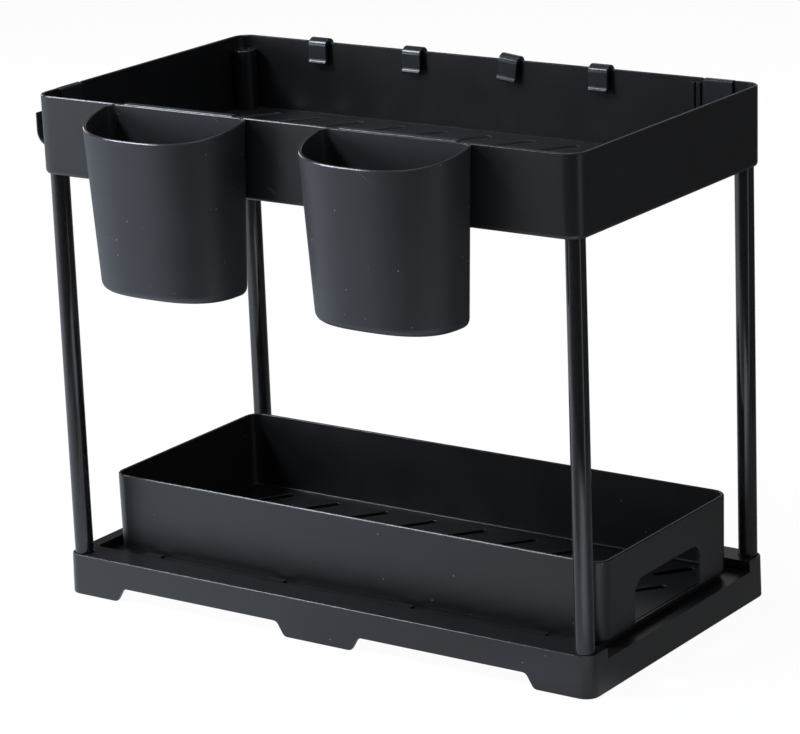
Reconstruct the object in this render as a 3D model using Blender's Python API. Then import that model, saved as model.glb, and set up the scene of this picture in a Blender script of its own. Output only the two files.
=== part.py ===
"""Two-tier pull-out organizer: a base tray with a sliding drawer, four posts, a top basket,
two hanging cups and six hanging hooks, each its own solid.

Metres, +Z up. Every piece is placed from the middle of the basket, and one empty carries
them all, so that the origin lies under the middle of the whole object's box, on the
surface that it stands on.
"""
import math

import bmesh
import bpy

# Gaps between pieces, and how far a cutter runs past what it cuts
CLEARANCE = 0.0003
OVERRUN = 0.004

# Round corners and arcs
CORNER_STEPS = 5
BEND_STEPS = 10
EDGE_STEPS = 2
ROUND_STEPS = 32
SLOT_STEPS = 4

# Top basket
BASKET_LENGTH = 0.390
BASKET_DEPTH = 0.213
RIM_HEIGHT = 0.323
BASKET_HEIGHT = 0.0498
BASKET_WALL = 0.002
BASKET_FLOOR = 0.0024
BASKET_DRAFT = 0.0004
BASKET_CORNER = 0.0105
BASKET_EDGE = 0.003
BASKET_RIM_EDGE = 0.0005
BASKET_BOSS_WALL = 0.0014
BASKET_BOSS_BELOW_RIM = 0.008
BASKET_BOSS_CAP = 0.0035
BASKET_SLOT_LENGTH = 0.0306
BASKET_SLOT_WIDTH = 0.0052
BASKET_SLOT_PITCH_X = 0.0326
BASKET_SLOT_PITCH_Y = 0.0406
BASKET_SLOT_MARGIN = 0.020
BASKET_SLOT_SHIFT = -0.0021

# Direction of the slots in both floors, from the long way
SLOT_ANGLE = math.radians(52.5)

# Posts, and how far they stand in from the basket's walls
POST_DIAMETER = 0.0118
POST_WALL = 0.001
POST_EDGE = 0.0006
POST_GAP_X = 0.0006
POST_GAP_Y = 0.0016

# Base tray
BASE_HEIGHT = 0.0263
BASE_WALL = 0.0022
BASE_CORNER = 0.008
BASE_FLARE = 0.0005
BASE_EDGE = 0.0008
BASE_EDGE_GAP_X = 0.00085
BASE_EDGE_GAP_Y = 0.00015
SOCKET_WALL = 0.001
SOCKET_FOOT = 0.003
SOCKET_DEPTH = 0.020
LONG_BORDER = 0.0195
END_BORDER = 0.0088
CHANNEL_DEPTH = 0.0066
CHANNEL_CORNER = 0.003

# Feet along the base's long skirts, with a sloped notch between each two
NOTCH_HEIGHT = 0.0092
NOTCH_RUN = 0.0055
NOTCH_ROUNDING = 0.0035
END_FOOT_LENGTH = 0.039
MIDDLE_FOOT_LENGTH = 0.050

# Tabs that hold the drawer down in the channel
TAB_LENGTH = 0.014
TAB_REACH = 0.0065
TAB_ROOT = 0.001
TAB_PITCH = 0.0955
TAB_COUNT = 4
TAB_STEP = 0.0003

# Drawer
DRAWER_HEIGHT = 0.0534
DRAWER_WALL = 0.002
DRAWER_FLOOR = 0.0022
DRAWER_RUNNER_HEIGHT = 0.0018
DRAWER_RUNNER_WIDTH = 0.0025
DRAWER_DRAFT = 0.0005
DRAWER_CORNER = 0.010
DRAWER_EDGE = 0.003
DRAWER_INNER_EDGE = 0.0015
DRAWER_REAR_GAP = 0.008
DRAWER_SETBACK = 0.0083
FLANGE_WIDTH = 0.009
FLANGE_GAP = 0.0006
FLANGE_ROOT = 0.005
FLANGE_SETBACK = 0.008
FLANGE_CORNER = 0.003
HANDLE_WIDTH = 0.0765
HANDLE_HEIGHT = 0.026
HANDLE_SILL = 0.0013
HANDLE_CORNER = 0.009
DRAWER_SLOT_LENGTH = 0.0272
DRAWER_SLOT_WIDTH = 0.0060
DRAWER_SLOT_PITCH_X = 0.0382
DRAWER_SLOT_PITCH_Y = 0.0356
DRAWER_SLOT_MARGIN = 0.0165
DRAWER_SLOT_SHIFT = 0.0011

# Hanging cups
CUP_WIDTH = 0.105
CUP_DEPTH = 0.0488
CUP_HEIGHT = 0.1076
CUP_WALL = 0.0018
CUP_BACK_CORNER = 0.0064
CUP_FRONT_POWER = 2.75
CUP_FRONT_STEPS = 12
CUP_SIDE_DRAFT = 0.0043
CUP_FRONT_DRAFT = 0.0064
CUP_BOTTOM_EDGE = 0.006
CUP_RIM_RISE = 0.0004
CUP_RIM_DROP = 0.0096
CUP_HANGER_LENGTH = 0.081
CUP_HANGER_THICKNESS = 0.0014
CUP_HANGER_LIP = 0.008
CUP_HANGER_ROOT = 0.003
CUP_CENTRE_SHARES = {"left_cup": -0.212, "right_cup": 0.193}

# Arched hooks on the back wall
HOOK_WIDTH = 0.0138
HOOK_THICKNESS = 0.002
HOOK_ARCH_RADIUS = 0.004
HOOK_INNER_LEG = 0.0105
HOOK_FLARE_RADIUS = 0.004
HOOK_FLARE_ANGLE = math.radians(55)
HOOK_DROP = 0.0332
HOOK_BEND = 0.0085
HOOK_TIP = 0.0152
HOOK_TILT = math.radians(6.5)
HOOK_CENTRE_SHARES = (-0.334, -0.146, 0.042, 0.210)
TILTED_HOOK = 3

# Flat hooks in notches of the rim, one on the left wall and one near the back right corner
FLAT_HOOK_WIDTH = 0.020
FLAT_HOOK_THICKNESS = 0.0012
FLAT_HOOK_INNER_LEG = 0.019
FLAT_HOOK_CORNER = 0.001
FLAT_HOOK_DROP = 0.0274
FLAT_HOOK_BEND = 0.00885
FLAT_HOOK_TIP = 0.0114
RIM_NOTCH_GAP = 0.0012
SIDE_HOOK_CENTRE_SHARE = -0.345
CORNER_HOOK_CENTRE_SHARE = 0.4233

# Places that follow from the sizes above
POST_RADIUS = POST_DIAMETER / 2
POST_HOLE_RADIUS = POST_RADIUS + CLEARANCE
POST_X = BASKET_LENGTH / 2 - BASKET_WALL - POST_GAP_X - POST_HOLE_RADIUS
POST_Y = BASKET_DEPTH / 2 - BASKET_WALL - POST_GAP_Y - POST_HOLE_RADIUS
BASKET_BOTTOM = RIM_HEIGHT - BASKET_HEIGHT
BASE_HALF_X = POST_X + POST_HOLE_RADIUS + SOCKET_WALL + BASE_EDGE_GAP_X
BASE_HALF_Y = POST_Y + POST_HOLE_RADIUS + SOCKET_WALL + BASE_EDGE_GAP_Y
CHANNEL_HALF = BASE_HALF_Y - LONG_BORDER
CHANNEL_LEFT = END_BORDER - BASE_HALF_X
CHANNEL_FLOOR = BASE_HEIGHT - CHANNEL_DEPTH
DRAWER_BOTTOM = CHANNEL_FLOOR + CLEARANCE
DRAWER_LEFT = CHANNEL_LEFT + DRAWER_REAR_GAP
DRAWER_RIGHT = BASE_HALF_X - DRAWER_SETBACK
DRAWER_FLOOR_TOP = DRAWER_RUNNER_HEIGHT + DRAWER_FLOOR
FLANGE_HALF = CHANNEL_HALF - FLANGE_GAP
DRAWER_HALF_LENGTH = (DRAWER_RIGHT - DRAWER_LEFT) / 2
DRAWER_HALF_WIDTH = FLANGE_HALF - FLANGE_WIDTH + DRAWER_DRAFT
CUP_BACK = BASKET_WALL / 2 + CLEARANCE
RIM_LINE_X = (BASKET_LENGTH - BASKET_WALL) / 2
RIM_LINE_Y = (BASKET_DEPTH - BASKET_WALL) / 2
FLAT_HOOK_LEG = BASKET_WALL / 2 + CLEARANCE + FLAT_HOOK_THICKNESS / 2
RIM_NOTCH_DEPTH = FLAT_HOOK_THICKNESS + CLEARANCE
SIDE_HOOK_PLACE = (-RIM_LINE_X, SIDE_HOOK_CENTRE_SHARE * BASKET_DEPTH)
CORNER_HOOK_PLACE = (CORNER_HOOK_CENTRE_SHARE * BASKET_LENGTH, RIM_LINE_Y)
HOOK_REACH = HOOK_ARCH_RADIUS + 2 * HOOK_BEND + HOOK_THICKNESS / 2
FLAT_HOOK_REACH = FLAT_HOOK_LEG + 2 * FLAT_HOOK_BEND + FLAT_HOOK_THICKNESS / 2

# Colours, roughness and metallic value of the finishes
FINISHES = {
    "black_plastic": ((0.016, 0.017, 0.019), 0.42, 0.0),
    "black_tube": ((0.014, 0.014, 0.016), 0.22, 0.0),
    "slate_plastic": ((0.032, 0.034, 0.039), 0.5, 0.0),
    "gloss_hook": ((0.022, 0.023, 0.026), 0.18, 0.0),
}


def arc(centre_x, centre_y, radius, start, end, steps):
    """Points along a circle's arc from angle start to angle end."""
    angles = [start + (end - start) * step / steps for step in range(steps + 1)]
    return [(centre_x + radius * math.cos(angle), centre_y + radius * math.sin(angle))
            for angle in angles]


def rounded_rectangle(half_x, half_y, radius, stations=()):
    """Outline with round corners, anticlockwise from the front left corner's end. Both long
    sides also carry a point at each station, an x between the corners."""
    x = half_x - radius
    y = half_y - radius
    quarter = math.pi / 2
    front = [(station, -half_y) for station in stations]
    back = [(station, half_y) for station in reversed(stations)]
    right_corners = (arc(x, -y, radius, -quarter, 0, CORNER_STEPS)
                     + arc(x, y, radius, 0, quarter, CORNER_STEPS))
    left_corners = (arc(-x, y, radius, quarter, 2 * quarter, CORNER_STEPS)
                    + arc(-x, -y, radius, 2 * quarter, 3 * quarter, CORNER_STEPS))
    return front + right_corners + back + left_corners


def rounded_path(points, radius):
    """An open path whose inner corners are replaced by arcs of one radius."""
    path = [points[0]]
    for before, corner, after in zip(points, points[1:], points[2:]):
        heading_in = math.atan2(corner[1] - before[1], corner[0] - before[0])
        heading_out = math.atan2(after[1] - corner[1], after[0] - corner[0])
        turn = heading_out - heading_in
        side = math.copysign(1, turn)
        setback = radius * math.tan(abs(turn) / 2)
        start_x = corner[0] - setback * math.cos(heading_in)
        start_y = corner[1] - setback * math.sin(heading_in)
        centre_x = start_x - side * radius * math.sin(heading_in)
        centre_y = start_y + side * radius * math.cos(heading_in)
        first = heading_in - side * math.pi / 2
        path += arc(centre_x, centre_y, radius, first, first + turn, EDGE_STEPS)
    return path + [points[-1]]


def level(outline, z):
    """An outline as a flat loop at height z."""
    return [(x, y, z) for x, y in outline]


def skin(loops, capped=True):
    """Points and faces of a solid skinned over loops of equally many points. Its ends are
    capped, or it closes on itself as a ring."""
    count = len(loops[0])
    points = [point for loop in loops for point in loop]
    faces = []
    for row in range(len(loops) - 1 if capped else len(loops)):
        here = row * count
        above = (row + 1) % len(loops) * count
        for k in range(count):
            step = (k + 1) % count
            faces.append((here + k, here + step, above + step, above + k))
    if capped:
        last = len(points) - count
        faces.append(tuple(reversed(range(count))))
        faces.append(tuple(range(last, len(points))))
    return points, faces


def make_mesh(name, solids):
    """One mesh from the points and faces of separate solids, with the faces turned out."""
    points = []
    faces = []
    for solid_points, solid_faces in solids:
        first = len(points)
        points += solid_points
        faces += [tuple(first + corner for corner in face) for face in solid_faces]
    mesh = bpy.data.meshes.new(name)
    mesh.from_pydata(points, [], faces)
    shape = bmesh.new()
    shape.from_mesh(mesh)
    bmesh.ops.recalc_face_normals(shape, faces=shape.faces)
    shape.to_mesh(mesh)
    shape.free()
    mesh.shade_smooth()
    mesh.set_sharp_from_angle(angle=math.radians(40))
    return mesh


def prism(outline, low, high):
    """An outline raised from one height to another."""
    return skin([level(outline, low), level(outline, high)])


def add_piece(name, mesh, parent, location=(0, 0, 0), rotation=(0, 0, 0)):
    """An object at a place under its parent."""
    piece = bpy.data.objects.new(name, mesh)
    piece.location = location
    piece.rotation_euler = rotation
    piece.parent = parent
    bpy.context.collection.objects.link(piece)
    return piece


def combine(piece, operation, name, solids):
    """Joins solids to a piece or cuts them from it, with a hidden tool object."""
    tool = add_piece(name, make_mesh(name, solids), piece)
    tool.hide_render = True
    tool.display_type = "WIRE"
    modifier = piece.modifiers.new(name, "BOOLEAN")
    modifier.operation = operation
    modifier.solver = "EXACT"
    modifier.object = tool


def finish_material(name):
    """The Principled material of one finish."""
    colour, roughness, metallic = FINISHES[name]
    material = bpy.data.materials.new(name)
    material.use_nodes = True
    shader = material.node_tree.nodes["Principled BSDF"]
    shader.inputs["Base Color"].default_value = (*colour, 1)
    shader.inputs["Roughness"].default_value = roughness
    shader.inputs["Metallic"].default_value = metallic
    return material


def corners(x, y):
    """The four places at plus or minus x and y, named by corner."""
    return {
        "front_left": (-x, -y),
        "front_right": (x, -y),
        "back_left": (-x, y),
        "back_right": (x, y),
    }


def post_cylinders(radius, low, high):
    """Upright cylinders on the four posts' axes."""
    return [prism(arc(x, y, radius, 0, 2 * math.pi, ROUND_STEPS)[:-1], low, high)
            for x, y in corners(POST_X, POST_Y).values()]


def slot_pattern(length, width, pitch_x, pitch_y, half_x, half_y, margin, shift, low, high):
    """Slanted round-ended slots on a grid that fills a floor up to its margin."""
    columns = int((2 * half_x - 2 * margin) / pitch_x) + 1
    rows = int((2 * half_y - 2 * margin) / pitch_y) + 1
    radius = width / 2
    reach = length / 2 - radius
    reach_x = reach * math.cos(SLOT_ANGLE)
    reach_y = reach * math.sin(SLOT_ANGLE)
    start = SLOT_ANGLE - math.pi / 2
    slots = []
    for column in range(columns):
        for row in range(rows):
            x = (column - (columns - 1) / 2) * pitch_x + shift
            y = (row - (rows - 1) / 2) * pitch_y
            outline = (arc(x + reach_x, y + reach_y, radius, start, start + math.pi, SLOT_STEPS)
                       + arc(x - reach_x, y - reach_y, radius, start + math.pi,
                             start + 2 * math.pi, SLOT_STEPS))
            slots.append(prism(outline, low, high))
    return slots


def make_basket(parent):
    """Open tray with drafted walls, four corner bosses for the posts and a slotted floor.
    Its own origin is in the middle of its underside."""
    half_x = BASKET_LENGTH / 2
    half_y = BASKET_DEPTH / 2

    def loop(inset, z):
        """The outline drawn in from the rim's outer edge, with its corners' centres kept."""
        radius = max(BASKET_CORNER - inset, BASKET_RIM_EDGE)
        return level(rounded_rectangle(half_x - inset, half_y - inset, radius), z)

    loops = []
    for inset, z in arc(BASKET_EDGE, BASKET_EDGE, BASKET_EDGE, -math.pi / 2, -math.pi,
                        2 * EDGE_STEPS):
        loops.append(loop(BASKET_DRAFT + inset, z))
    loops.append(loop(0, BASKET_HEIGHT - BASKET_RIM_EDGE))
    loops.append(loop(BASKET_RIM_EDGE, BASKET_HEIGHT))
    loops.append(loop(BASKET_WALL - BASKET_RIM_EDGE, BASKET_HEIGHT))
    loops.append(loop(BASKET_WALL, BASKET_HEIGHT - BASKET_RIM_EDGE))
    loops.append(loop(BASKET_WALL + BASKET_DRAFT, BASKET_FLOOR))
    basket = add_piece("top_basket", make_mesh("top_basket", [skin(loops)]), parent,
                       (0, 0, BASKET_BOTTOM))
    boss_top = BASKET_HEIGHT - BASKET_BOSS_BELOW_RIM
    combine(basket, "UNION", "basket_bosses",
            post_cylinders(POST_HOLE_RADIUS + BASKET_BOSS_WALL, BASKET_FLOOR / 2, boss_top))
    combine(basket, "DIFFERENCE", "basket_post_holes",
            post_cylinders(POST_HOLE_RADIUS, -OVERRUN, boss_top - BASKET_BOSS_CAP))
    combine(basket, "DIFFERENCE", "basket_slots",
            slot_pattern(BASKET_SLOT_LENGTH, BASKET_SLOT_WIDTH, BASKET_SLOT_PITCH_X,
                         BASKET_SLOT_PITCH_Y, half_x - BASKET_WALL, half_y - BASKET_WALL,
                         BASKET_SLOT_MARGIN, BASKET_SLOT_SHIFT, -OVERRUN,
                         BASKET_FLOOR + OVERRUN))
    combine(basket, "DIFFERENCE", "basket_rim_notches", rim_notches())
    return basket


def rim_notches():
    """Cutters for the notches that the flat hooks lie in, one across the left wall and one
    across the back wall."""
    along = FLAT_HOOK_WIDTH / 2 + RIM_NOTCH_GAP
    across = BASKET_WALL / 2 + OVERRUN
    notches = []
    for (x, y), (half_x, half_y) in ((SIDE_HOOK_PLACE, (across, along)),
                                     (CORNER_HOOK_PLACE, (along, across))):
        notches.append(box(x - half_x, x + half_x, y - half_y, y + half_y,
                           BASKET_HEIGHT - RIM_NOTCH_DEPTH, BASKET_HEIGHT + OVERRUN))
    return notches


def skirt_profile():
    """The lower edge of a long skirt from left to right: two notches between three feet."""
    straight = BASE_HALF_X - BASE_CORNER
    middle = MIDDLE_FOOT_LENGTH / 2
    left_end = END_FOOT_LENGTH - BASE_HALF_X
    points = [(-straight, 0)]
    for low_x, high_x in ((left_end, -middle), (middle, -left_end)):
        points.append((low_x, 0))
        points.append((low_x + NOTCH_RUN, NOTCH_HEIGHT))
        points.append((high_x - NOTCH_RUN, NOTCH_HEIGHT))
        points.append((high_x, 0))
    points.append((straight, 0))
    return rounded_path(points, NOTCH_ROUNDING)[1:-1]


def make_base(parent):
    """Hollow tray with notched long skirts, a channel open at its right end, tabs over the
    channel's long edges and four sockets for the posts."""
    profile = skirt_profile()
    stations = [x for x, z in profile]
    heights = [z for x, z in profile]

    def outline(inset):
        return rounded_rectangle(BASE_HALF_X - inset, BASE_HALF_Y - inset,
                                 BASE_CORNER - inset, stations)

    def skirt_loop(inset):
        """The skirt's lower edge, which rises over the notches on both long sides."""
        points = outline(inset)
        side = len(stations)
        corner = (len(points) - 2 * side) // 2
        rises = heights + [0] * corner + heights[::-1] + [0] * corner
        return [(x, y, z) for (x, y), z in zip(points, rises)]

    loops = [level(outline(BASE_WALL), BASE_HEIGHT - BASE_WALL)]
    loops.append(skirt_loop(BASE_WALL - BASE_FLARE))
    loops.append(skirt_loop(-BASE_FLARE))
    edge = BASE_HEIGHT - BASE_EDGE
    for inset, z in arc(BASE_EDGE, edge, BASE_EDGE, math.pi, math.pi / 2, EDGE_STEPS):
        loops.append(level(outline(inset), z))
    base = add_piece("base_tray", make_mesh("base_tray", [skin(loops)]), parent)

    inside_plate = BASE_HEIGHT - BASE_WALL / 2
    right_end = BASE_HALF_X - BASE_WALL / 2
    trough = box(CHANNEL_LEFT - BASE_WALL, right_end, -CHANNEL_HALF - BASE_WALL,
                 CHANNEL_HALF + BASE_WALL, CHANNEL_FLOOR - BASE_WALL, inside_plate)
    combine(base, "UNION", "base_trough", [trough])
    combine(base, "UNION", "base_socket_walls",
            post_cylinders(POST_HOLE_RADIUS + SOCKET_WALL, SOCKET_FOOT, inside_plate))
    channel_length = BASE_HALF_X + OVERRUN - CHANNEL_LEFT
    middle = CHANNEL_LEFT + channel_length / 2
    channel = [(middle + x, y) for x, y in
               rounded_rectangle(channel_length / 2, CHANNEL_HALF, CHANNEL_CORNER)]
    combine(base, "DIFFERENCE", "base_channel",
            [prism(channel, CHANNEL_FLOOR, BASE_HEIGHT + OVERRUN)])
    combine(base, "DIFFERENCE", "base_socket_holes",
            post_cylinders(POST_HOLE_RADIUS, BASE_HEIGHT - SOCKET_DEPTH, BASE_HEIGHT + OVERRUN))
    tab_low = DRAWER_BOTTOM + DRAWER_FLOOR_TOP + CLEARANCE
    tabs = []
    for k in range(TAB_COUNT):
        x = (k - (TAB_COUNT - 1) / 2) * TAB_PITCH
        for side in (-1, 1):
            inner, outer = sorted((side * (CHANNEL_HALF - TAB_REACH),
                                   side * (CHANNEL_HALF + TAB_ROOT)))
            tabs.append(box(x - TAB_LENGTH / 2, x + TAB_LENGTH / 2, inner, outer,
                            tab_low, BASE_HEIGHT - TAB_STEP))
    combine(base, "UNION", "base_tabs", tabs)
    return base


def box(x_low, x_high, y_low, y_high, z_low, z_high):
    """A plain block between two corners."""
    outline = [(x_low, y_low), (x_high, y_low), (x_high, y_high), (x_low, y_high)]
    return prism(outline, z_low, z_high)


def make_drawer(parent):
    """Open box on a rim of runners, with side flanges, a slotted floor and an arched hand
    hole low in its right end. Its own origin is in the middle of its underside."""
    def loop(inset, z):
        """The outline drawn in from the rim's outer edge, with its corners' centres kept."""
        return level(rounded_rectangle(DRAWER_HALF_LENGTH - inset, DRAWER_HALF_WIDTH - inset,
                                       DRAWER_CORNER - inset), z)

    runner_outside = DRAWER_DRAFT + DRAWER_EDGE
    runner_inside = runner_outside + DRAWER_RUNNER_WIDTH
    loops = [loop(runner_inside, DRAWER_RUNNER_HEIGHT), loop(runner_inside, 0),
             loop(runner_outside, 0)]
    for inset, z in arc(DRAWER_EDGE, DRAWER_RUNNER_HEIGHT + DRAWER_EDGE, DRAWER_EDGE,
                        -math.pi / 2, -math.pi, 2 * EDGE_STEPS):
        loops.append(loop(DRAWER_DRAFT + inset, z))
    loops.append(loop(0, DRAWER_HEIGHT))
    loops.append(loop(DRAWER_WALL, DRAWER_HEIGHT))
    edge = DRAWER_INNER_EDGE
    for inset, z in arc(edge, DRAWER_FLOOR_TOP + edge, edge, -math.pi, -math.pi / 2,
                        EDGE_STEPS):
        loops.append(loop(DRAWER_WALL + DRAWER_DRAFT + inset, z))
    centre_x = (DRAWER_LEFT + DRAWER_RIGHT) / 2
    drawer = add_piece("drawer", make_mesh("drawer", [skin(loops)]), parent,
                       (centre_x, 0, DRAWER_BOTTOM))
    flange_inside = DRAWER_HALF_WIDTH - FLANGE_ROOT
    flange_middle = (flange_inside + FLANGE_HALF) / 2
    flange_outline = rounded_rectangle(DRAWER_HALF_LENGTH - FLANGE_SETBACK,
                                       (FLANGE_HALF - flange_inside) / 2, FLANGE_CORNER)
    flanges = []
    for side in (-1, 1):
        outline = [(x, y + side * flange_middle) for x, y in flange_outline]
        flanges.append(prism(outline, DRAWER_RUNNER_HEIGHT, DRAWER_FLOOR_TOP))
    combine(drawer, "UNION", "drawer_flanges", flanges)
    inner_x = DRAWER_HALF_LENGTH - DRAWER_WALL
    inner_y = DRAWER_HALF_WIDTH - DRAWER_WALL
    combine(drawer, "DIFFERENCE", "drawer_slots",
            slot_pattern(DRAWER_SLOT_LENGTH, DRAWER_SLOT_WIDTH, DRAWER_SLOT_PITCH_X,
                         DRAWER_SLOT_PITCH_Y, inner_x, inner_y, DRAWER_SLOT_MARGIN,
                         DRAWER_SLOT_SHIFT,
                         -OVERRUN, DRAWER_FLOOR_TOP + OVERRUN))
    combine(drawer, "DIFFERENCE", "drawer_hand_hole", [hand_hole()])
    return drawer


def hand_hole():
    """Cutter for the hand hole: an arch with a flat top and wide round upper corners."""
    half = HANDLE_WIDTH / 2
    sill = DRAWER_FLOOR_TOP + HANDLE_SILL
    top = sill + HANDLE_HEIGHT - HANDLE_CORNER
    arch = [(-half, sill), (half, sill)]
    arch += arc(half - HANDLE_CORNER, top, HANDLE_CORNER, 0, math.pi / 2, CORNER_STEPS)
    arch += arc(HANDLE_CORNER - half, top, HANDLE_CORNER, math.pi / 2, math.pi, CORNER_STEPS)
    inside = DRAWER_HALF_LENGTH - DRAWER_WALL - DRAWER_CORNER
    outside = DRAWER_HALF_LENGTH + OVERRUN
    return skin([[(x, y, z) for y, z in arch] for x in (inside, outside)])


def make_posts(parent):
    """Four alike tubes from the base's sockets up into the basket's bosses."""
    low = BASE_HEIGHT - SOCKET_DEPTH + CLEARANCE
    boss_top = RIM_HEIGHT - BASKET_BOSS_BELOW_RIM
    length = boss_top - BASKET_BOSS_CAP - CLEARANCE - low
    bore = POST_RADIUS - POST_WALL
    section = [(bore, 0), (POST_RADIUS - POST_EDGE, 0), (POST_RADIUS, POST_EDGE),
               (POST_RADIUS, length - POST_EDGE), (POST_RADIUS - POST_EDGE, length),
               (bore, length)]
    loops = [level(arc(0, 0, radius, 0, 2 * math.pi, ROUND_STEPS)[:-1], z)
             for radius, z in section]
    mesh = make_mesh("post", [skin(loops, capped=False)])
    return [add_piece(corner + "_post", mesh, parent, (x, y, low))
            for corner, (x, y) in corners(POST_X, POST_Y).items()]


def cup_outline(width, depth, back_corner):
    """The cup in plan, anticlockwise: a flat back at 0 with round corners, and a full front
    that follows a superellipse out to the depth. Outward from the wall is -y."""
    half = width / 2
    side = arc(half - back_corner, -back_corner, back_corner, math.pi / 2, 0, CORNER_STEPS)
    share = 2 / CUP_FRONT_POWER
    for step in range(1, CUP_FRONT_STEPS + 1):
        angle = math.pi / 2 * step / CUP_FRONT_STEPS
        x = half * math.cos(angle) ** share if step < CUP_FRONT_STEPS else 0
        y = -back_corner - (depth - back_corner) * math.sin(angle) ** share
        side.append((x, y))
    left = [(-x, y) for x, y in side[:-1]]
    return left + side[::-1]


def make_cups(parent):
    """Two alike cups that hang over the front wall. A cup's own origin is on the basket's
    rim, above the middle of the wall. The cup's rim slopes down from the wall."""
    bottom_width = CUP_WIDTH - 2 * CUP_SIDE_DRAFT
    bottom_depth = CUP_DEPTH - CUP_FRONT_DRAFT
    floor = CUP_RIM_RISE - CUP_HEIGHT

    def ring(width, depth, inset, z, drop=0):
        """A loop drawn in on every side by an inset. Its height falls by the drop over the
        whole depth."""
        corner = max(CUP_BACK_CORNER - inset, CUP_WALL)
        plan = cup_outline(width - 2 * inset, depth - 2 * inset, corner)
        return [(x, y - inset - CUP_BACK, z + drop * (y - inset) / depth) for x, y in plan]

    loops = []
    for inset, z in arc(CUP_BOTTOM_EDGE, CUP_BOTTOM_EDGE, CUP_BOTTOM_EDGE, -math.pi / 2,
                        -math.pi, 2 * EDGE_STEPS):
        loops.append(ring(bottom_width, bottom_depth, inset, floor + z))
    loops.append(ring(CUP_WIDTH, CUP_DEPTH, 0, CUP_RIM_RISE, CUP_RIM_DROP))
    loops.append(ring(CUP_WIDTH, CUP_DEPTH, CUP_WALL, CUP_RIM_RISE, CUP_RIM_DROP))
    inner_edge = CUP_BOTTOM_EDGE - CUP_WALL
    for inset, z in arc(inner_edge, inner_edge, inner_edge, -math.pi, -math.pi / 2, EDGE_STEPS):
        loops.append(ring(bottom_width, bottom_depth, inset + CUP_WALL, floor + CUP_WALL + z))
    mesh = make_mesh("cup", [skin(loops)])
    cups = []
    for name, share in CUP_CENTRE_SHARES.items():
        cup = add_piece(name, mesh, parent, (share * BASKET_LENGTH, -RIM_LINE_Y, RIM_HEIGHT))
        combine(cup, "UNION", name + "_hanger", [cup_hanger()])
        cups.append(cup)
    return cups


def cup_hanger():
    """The strip on a cup's back wall that goes over the basket's rim and down inside it."""
    half = CUP_HANGER_LENGTH / 2
    root_in = CUP_BACK + (CUP_WALL - CUP_HANGER_THICKNESS) / 2
    root_out = root_in + CUP_HANGER_THICKNESS
    lip_out = CUP_BACK + CUP_HANGER_THICKNESS
    top = CLEARANCE + CUP_HANGER_THICKNESS
    section = [(-root_out, -CUP_HANGER_ROOT), (-root_in, -CUP_HANGER_ROOT),
               (-root_in, CLEARANCE), (CUP_BACK, CLEARANCE), (CUP_BACK, -CUP_HANGER_LIP),
               (lip_out, -CUP_HANGER_LIP), (lip_out, top), (-root_out, top)]
    return skin([[(x, y, z) for y, z in section] for x in (-half, half)])


def strip(path, thickness, width):
    """A flat strip bent along a path in the (y, z) plane: a rectangle carried along it, kept
    square to the path, with mitred corners."""
    loops = []
    for k, (y, z) in enumerate(path):
        y_before, z_before = path[max(k - 1, 0)]
        y_after, z_after = path[min(k + 1, len(path) - 1)]
        into = math.atan2(z - z_before, y - y_before)
        out = math.atan2(z_after - z, y_after - y)
        if k == 0:
            into = out
        if k == len(path) - 1:
            out = into
        half_turn = math.remainder(out - into, 2 * math.pi) / 2
        normal = into + half_turn + math.pi / 2
        offset = thickness / 2 / math.cos(half_turn)
        dy = offset * math.cos(normal)
        dz = offset * math.sin(normal)
        half = width / 2
        loops.append([(-half, y - dy, z - dz), (half, y - dy, z - dz),
                      (half, y + dy, z + dz), (-half, y + dy, z + dz)])
    return skin(loops)


def arched_hook():
    """Strip with a flared inner leg, a round arch that rests on the rim, a long outer leg
    and an upturned end. Outward from the wall is -y, and the rim's top is at 0."""
    inner_radius = HOOK_ARCH_RADIUS - HOOK_THICKNESS / 2 - CLEARANCE
    arch_z = -math.sqrt(inner_radius ** 2 - (BASKET_WALL / 2) ** 2)
    leg = HOOK_ARCH_RADIUS
    path = arc(leg + HOOK_FLARE_RADIUS, -HOOK_INNER_LEG, HOOK_FLARE_RADIUS,
               math.pi + HOOK_FLARE_ANGLE, math.pi, 2 * EDGE_STEPS)
    path += arc(0, arch_z, HOOK_ARCH_RADIUS, 0, math.pi, BEND_STEPS)
    path += arc(-leg - HOOK_BEND, -HOOK_DROP, HOOK_BEND, 0, -math.pi, BEND_STEPS)
    path.append((-leg - 2 * HOOK_BEND, HOOK_TIP - HOOK_DROP))
    return strip(path, HOOK_THICKNESS, HOOK_WIDTH)


def flat_hook():
    """Wider strip that fits close over the rim, with an upturned outer end."""
    leg = FLAT_HOOK_LEG
    top = CLEARANCE + FLAT_HOOK_THICKNESS / 2
    corner = FLAT_HOOK_CORNER
    path = [(leg, -FLAT_HOOK_INNER_LEG)]
    path += arc(leg - corner, top - corner, corner, 0, math.pi / 2, EDGE_STEPS)
    path += arc(corner - leg, top - corner, corner, math.pi / 2, math.pi, EDGE_STEPS)
    path += arc(-leg - FLAT_HOOK_BEND, -FLAT_HOOK_DROP, FLAT_HOOK_BEND, 0, -math.pi, BEND_STEPS)
    path.append((-leg - 2 * FLAT_HOOK_BEND, FLAT_HOOK_TIP - FLAT_HOOK_DROP))
    return strip(path, FLAT_HOOK_THICKNESS, FLAT_HOOK_WIDTH)


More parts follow.
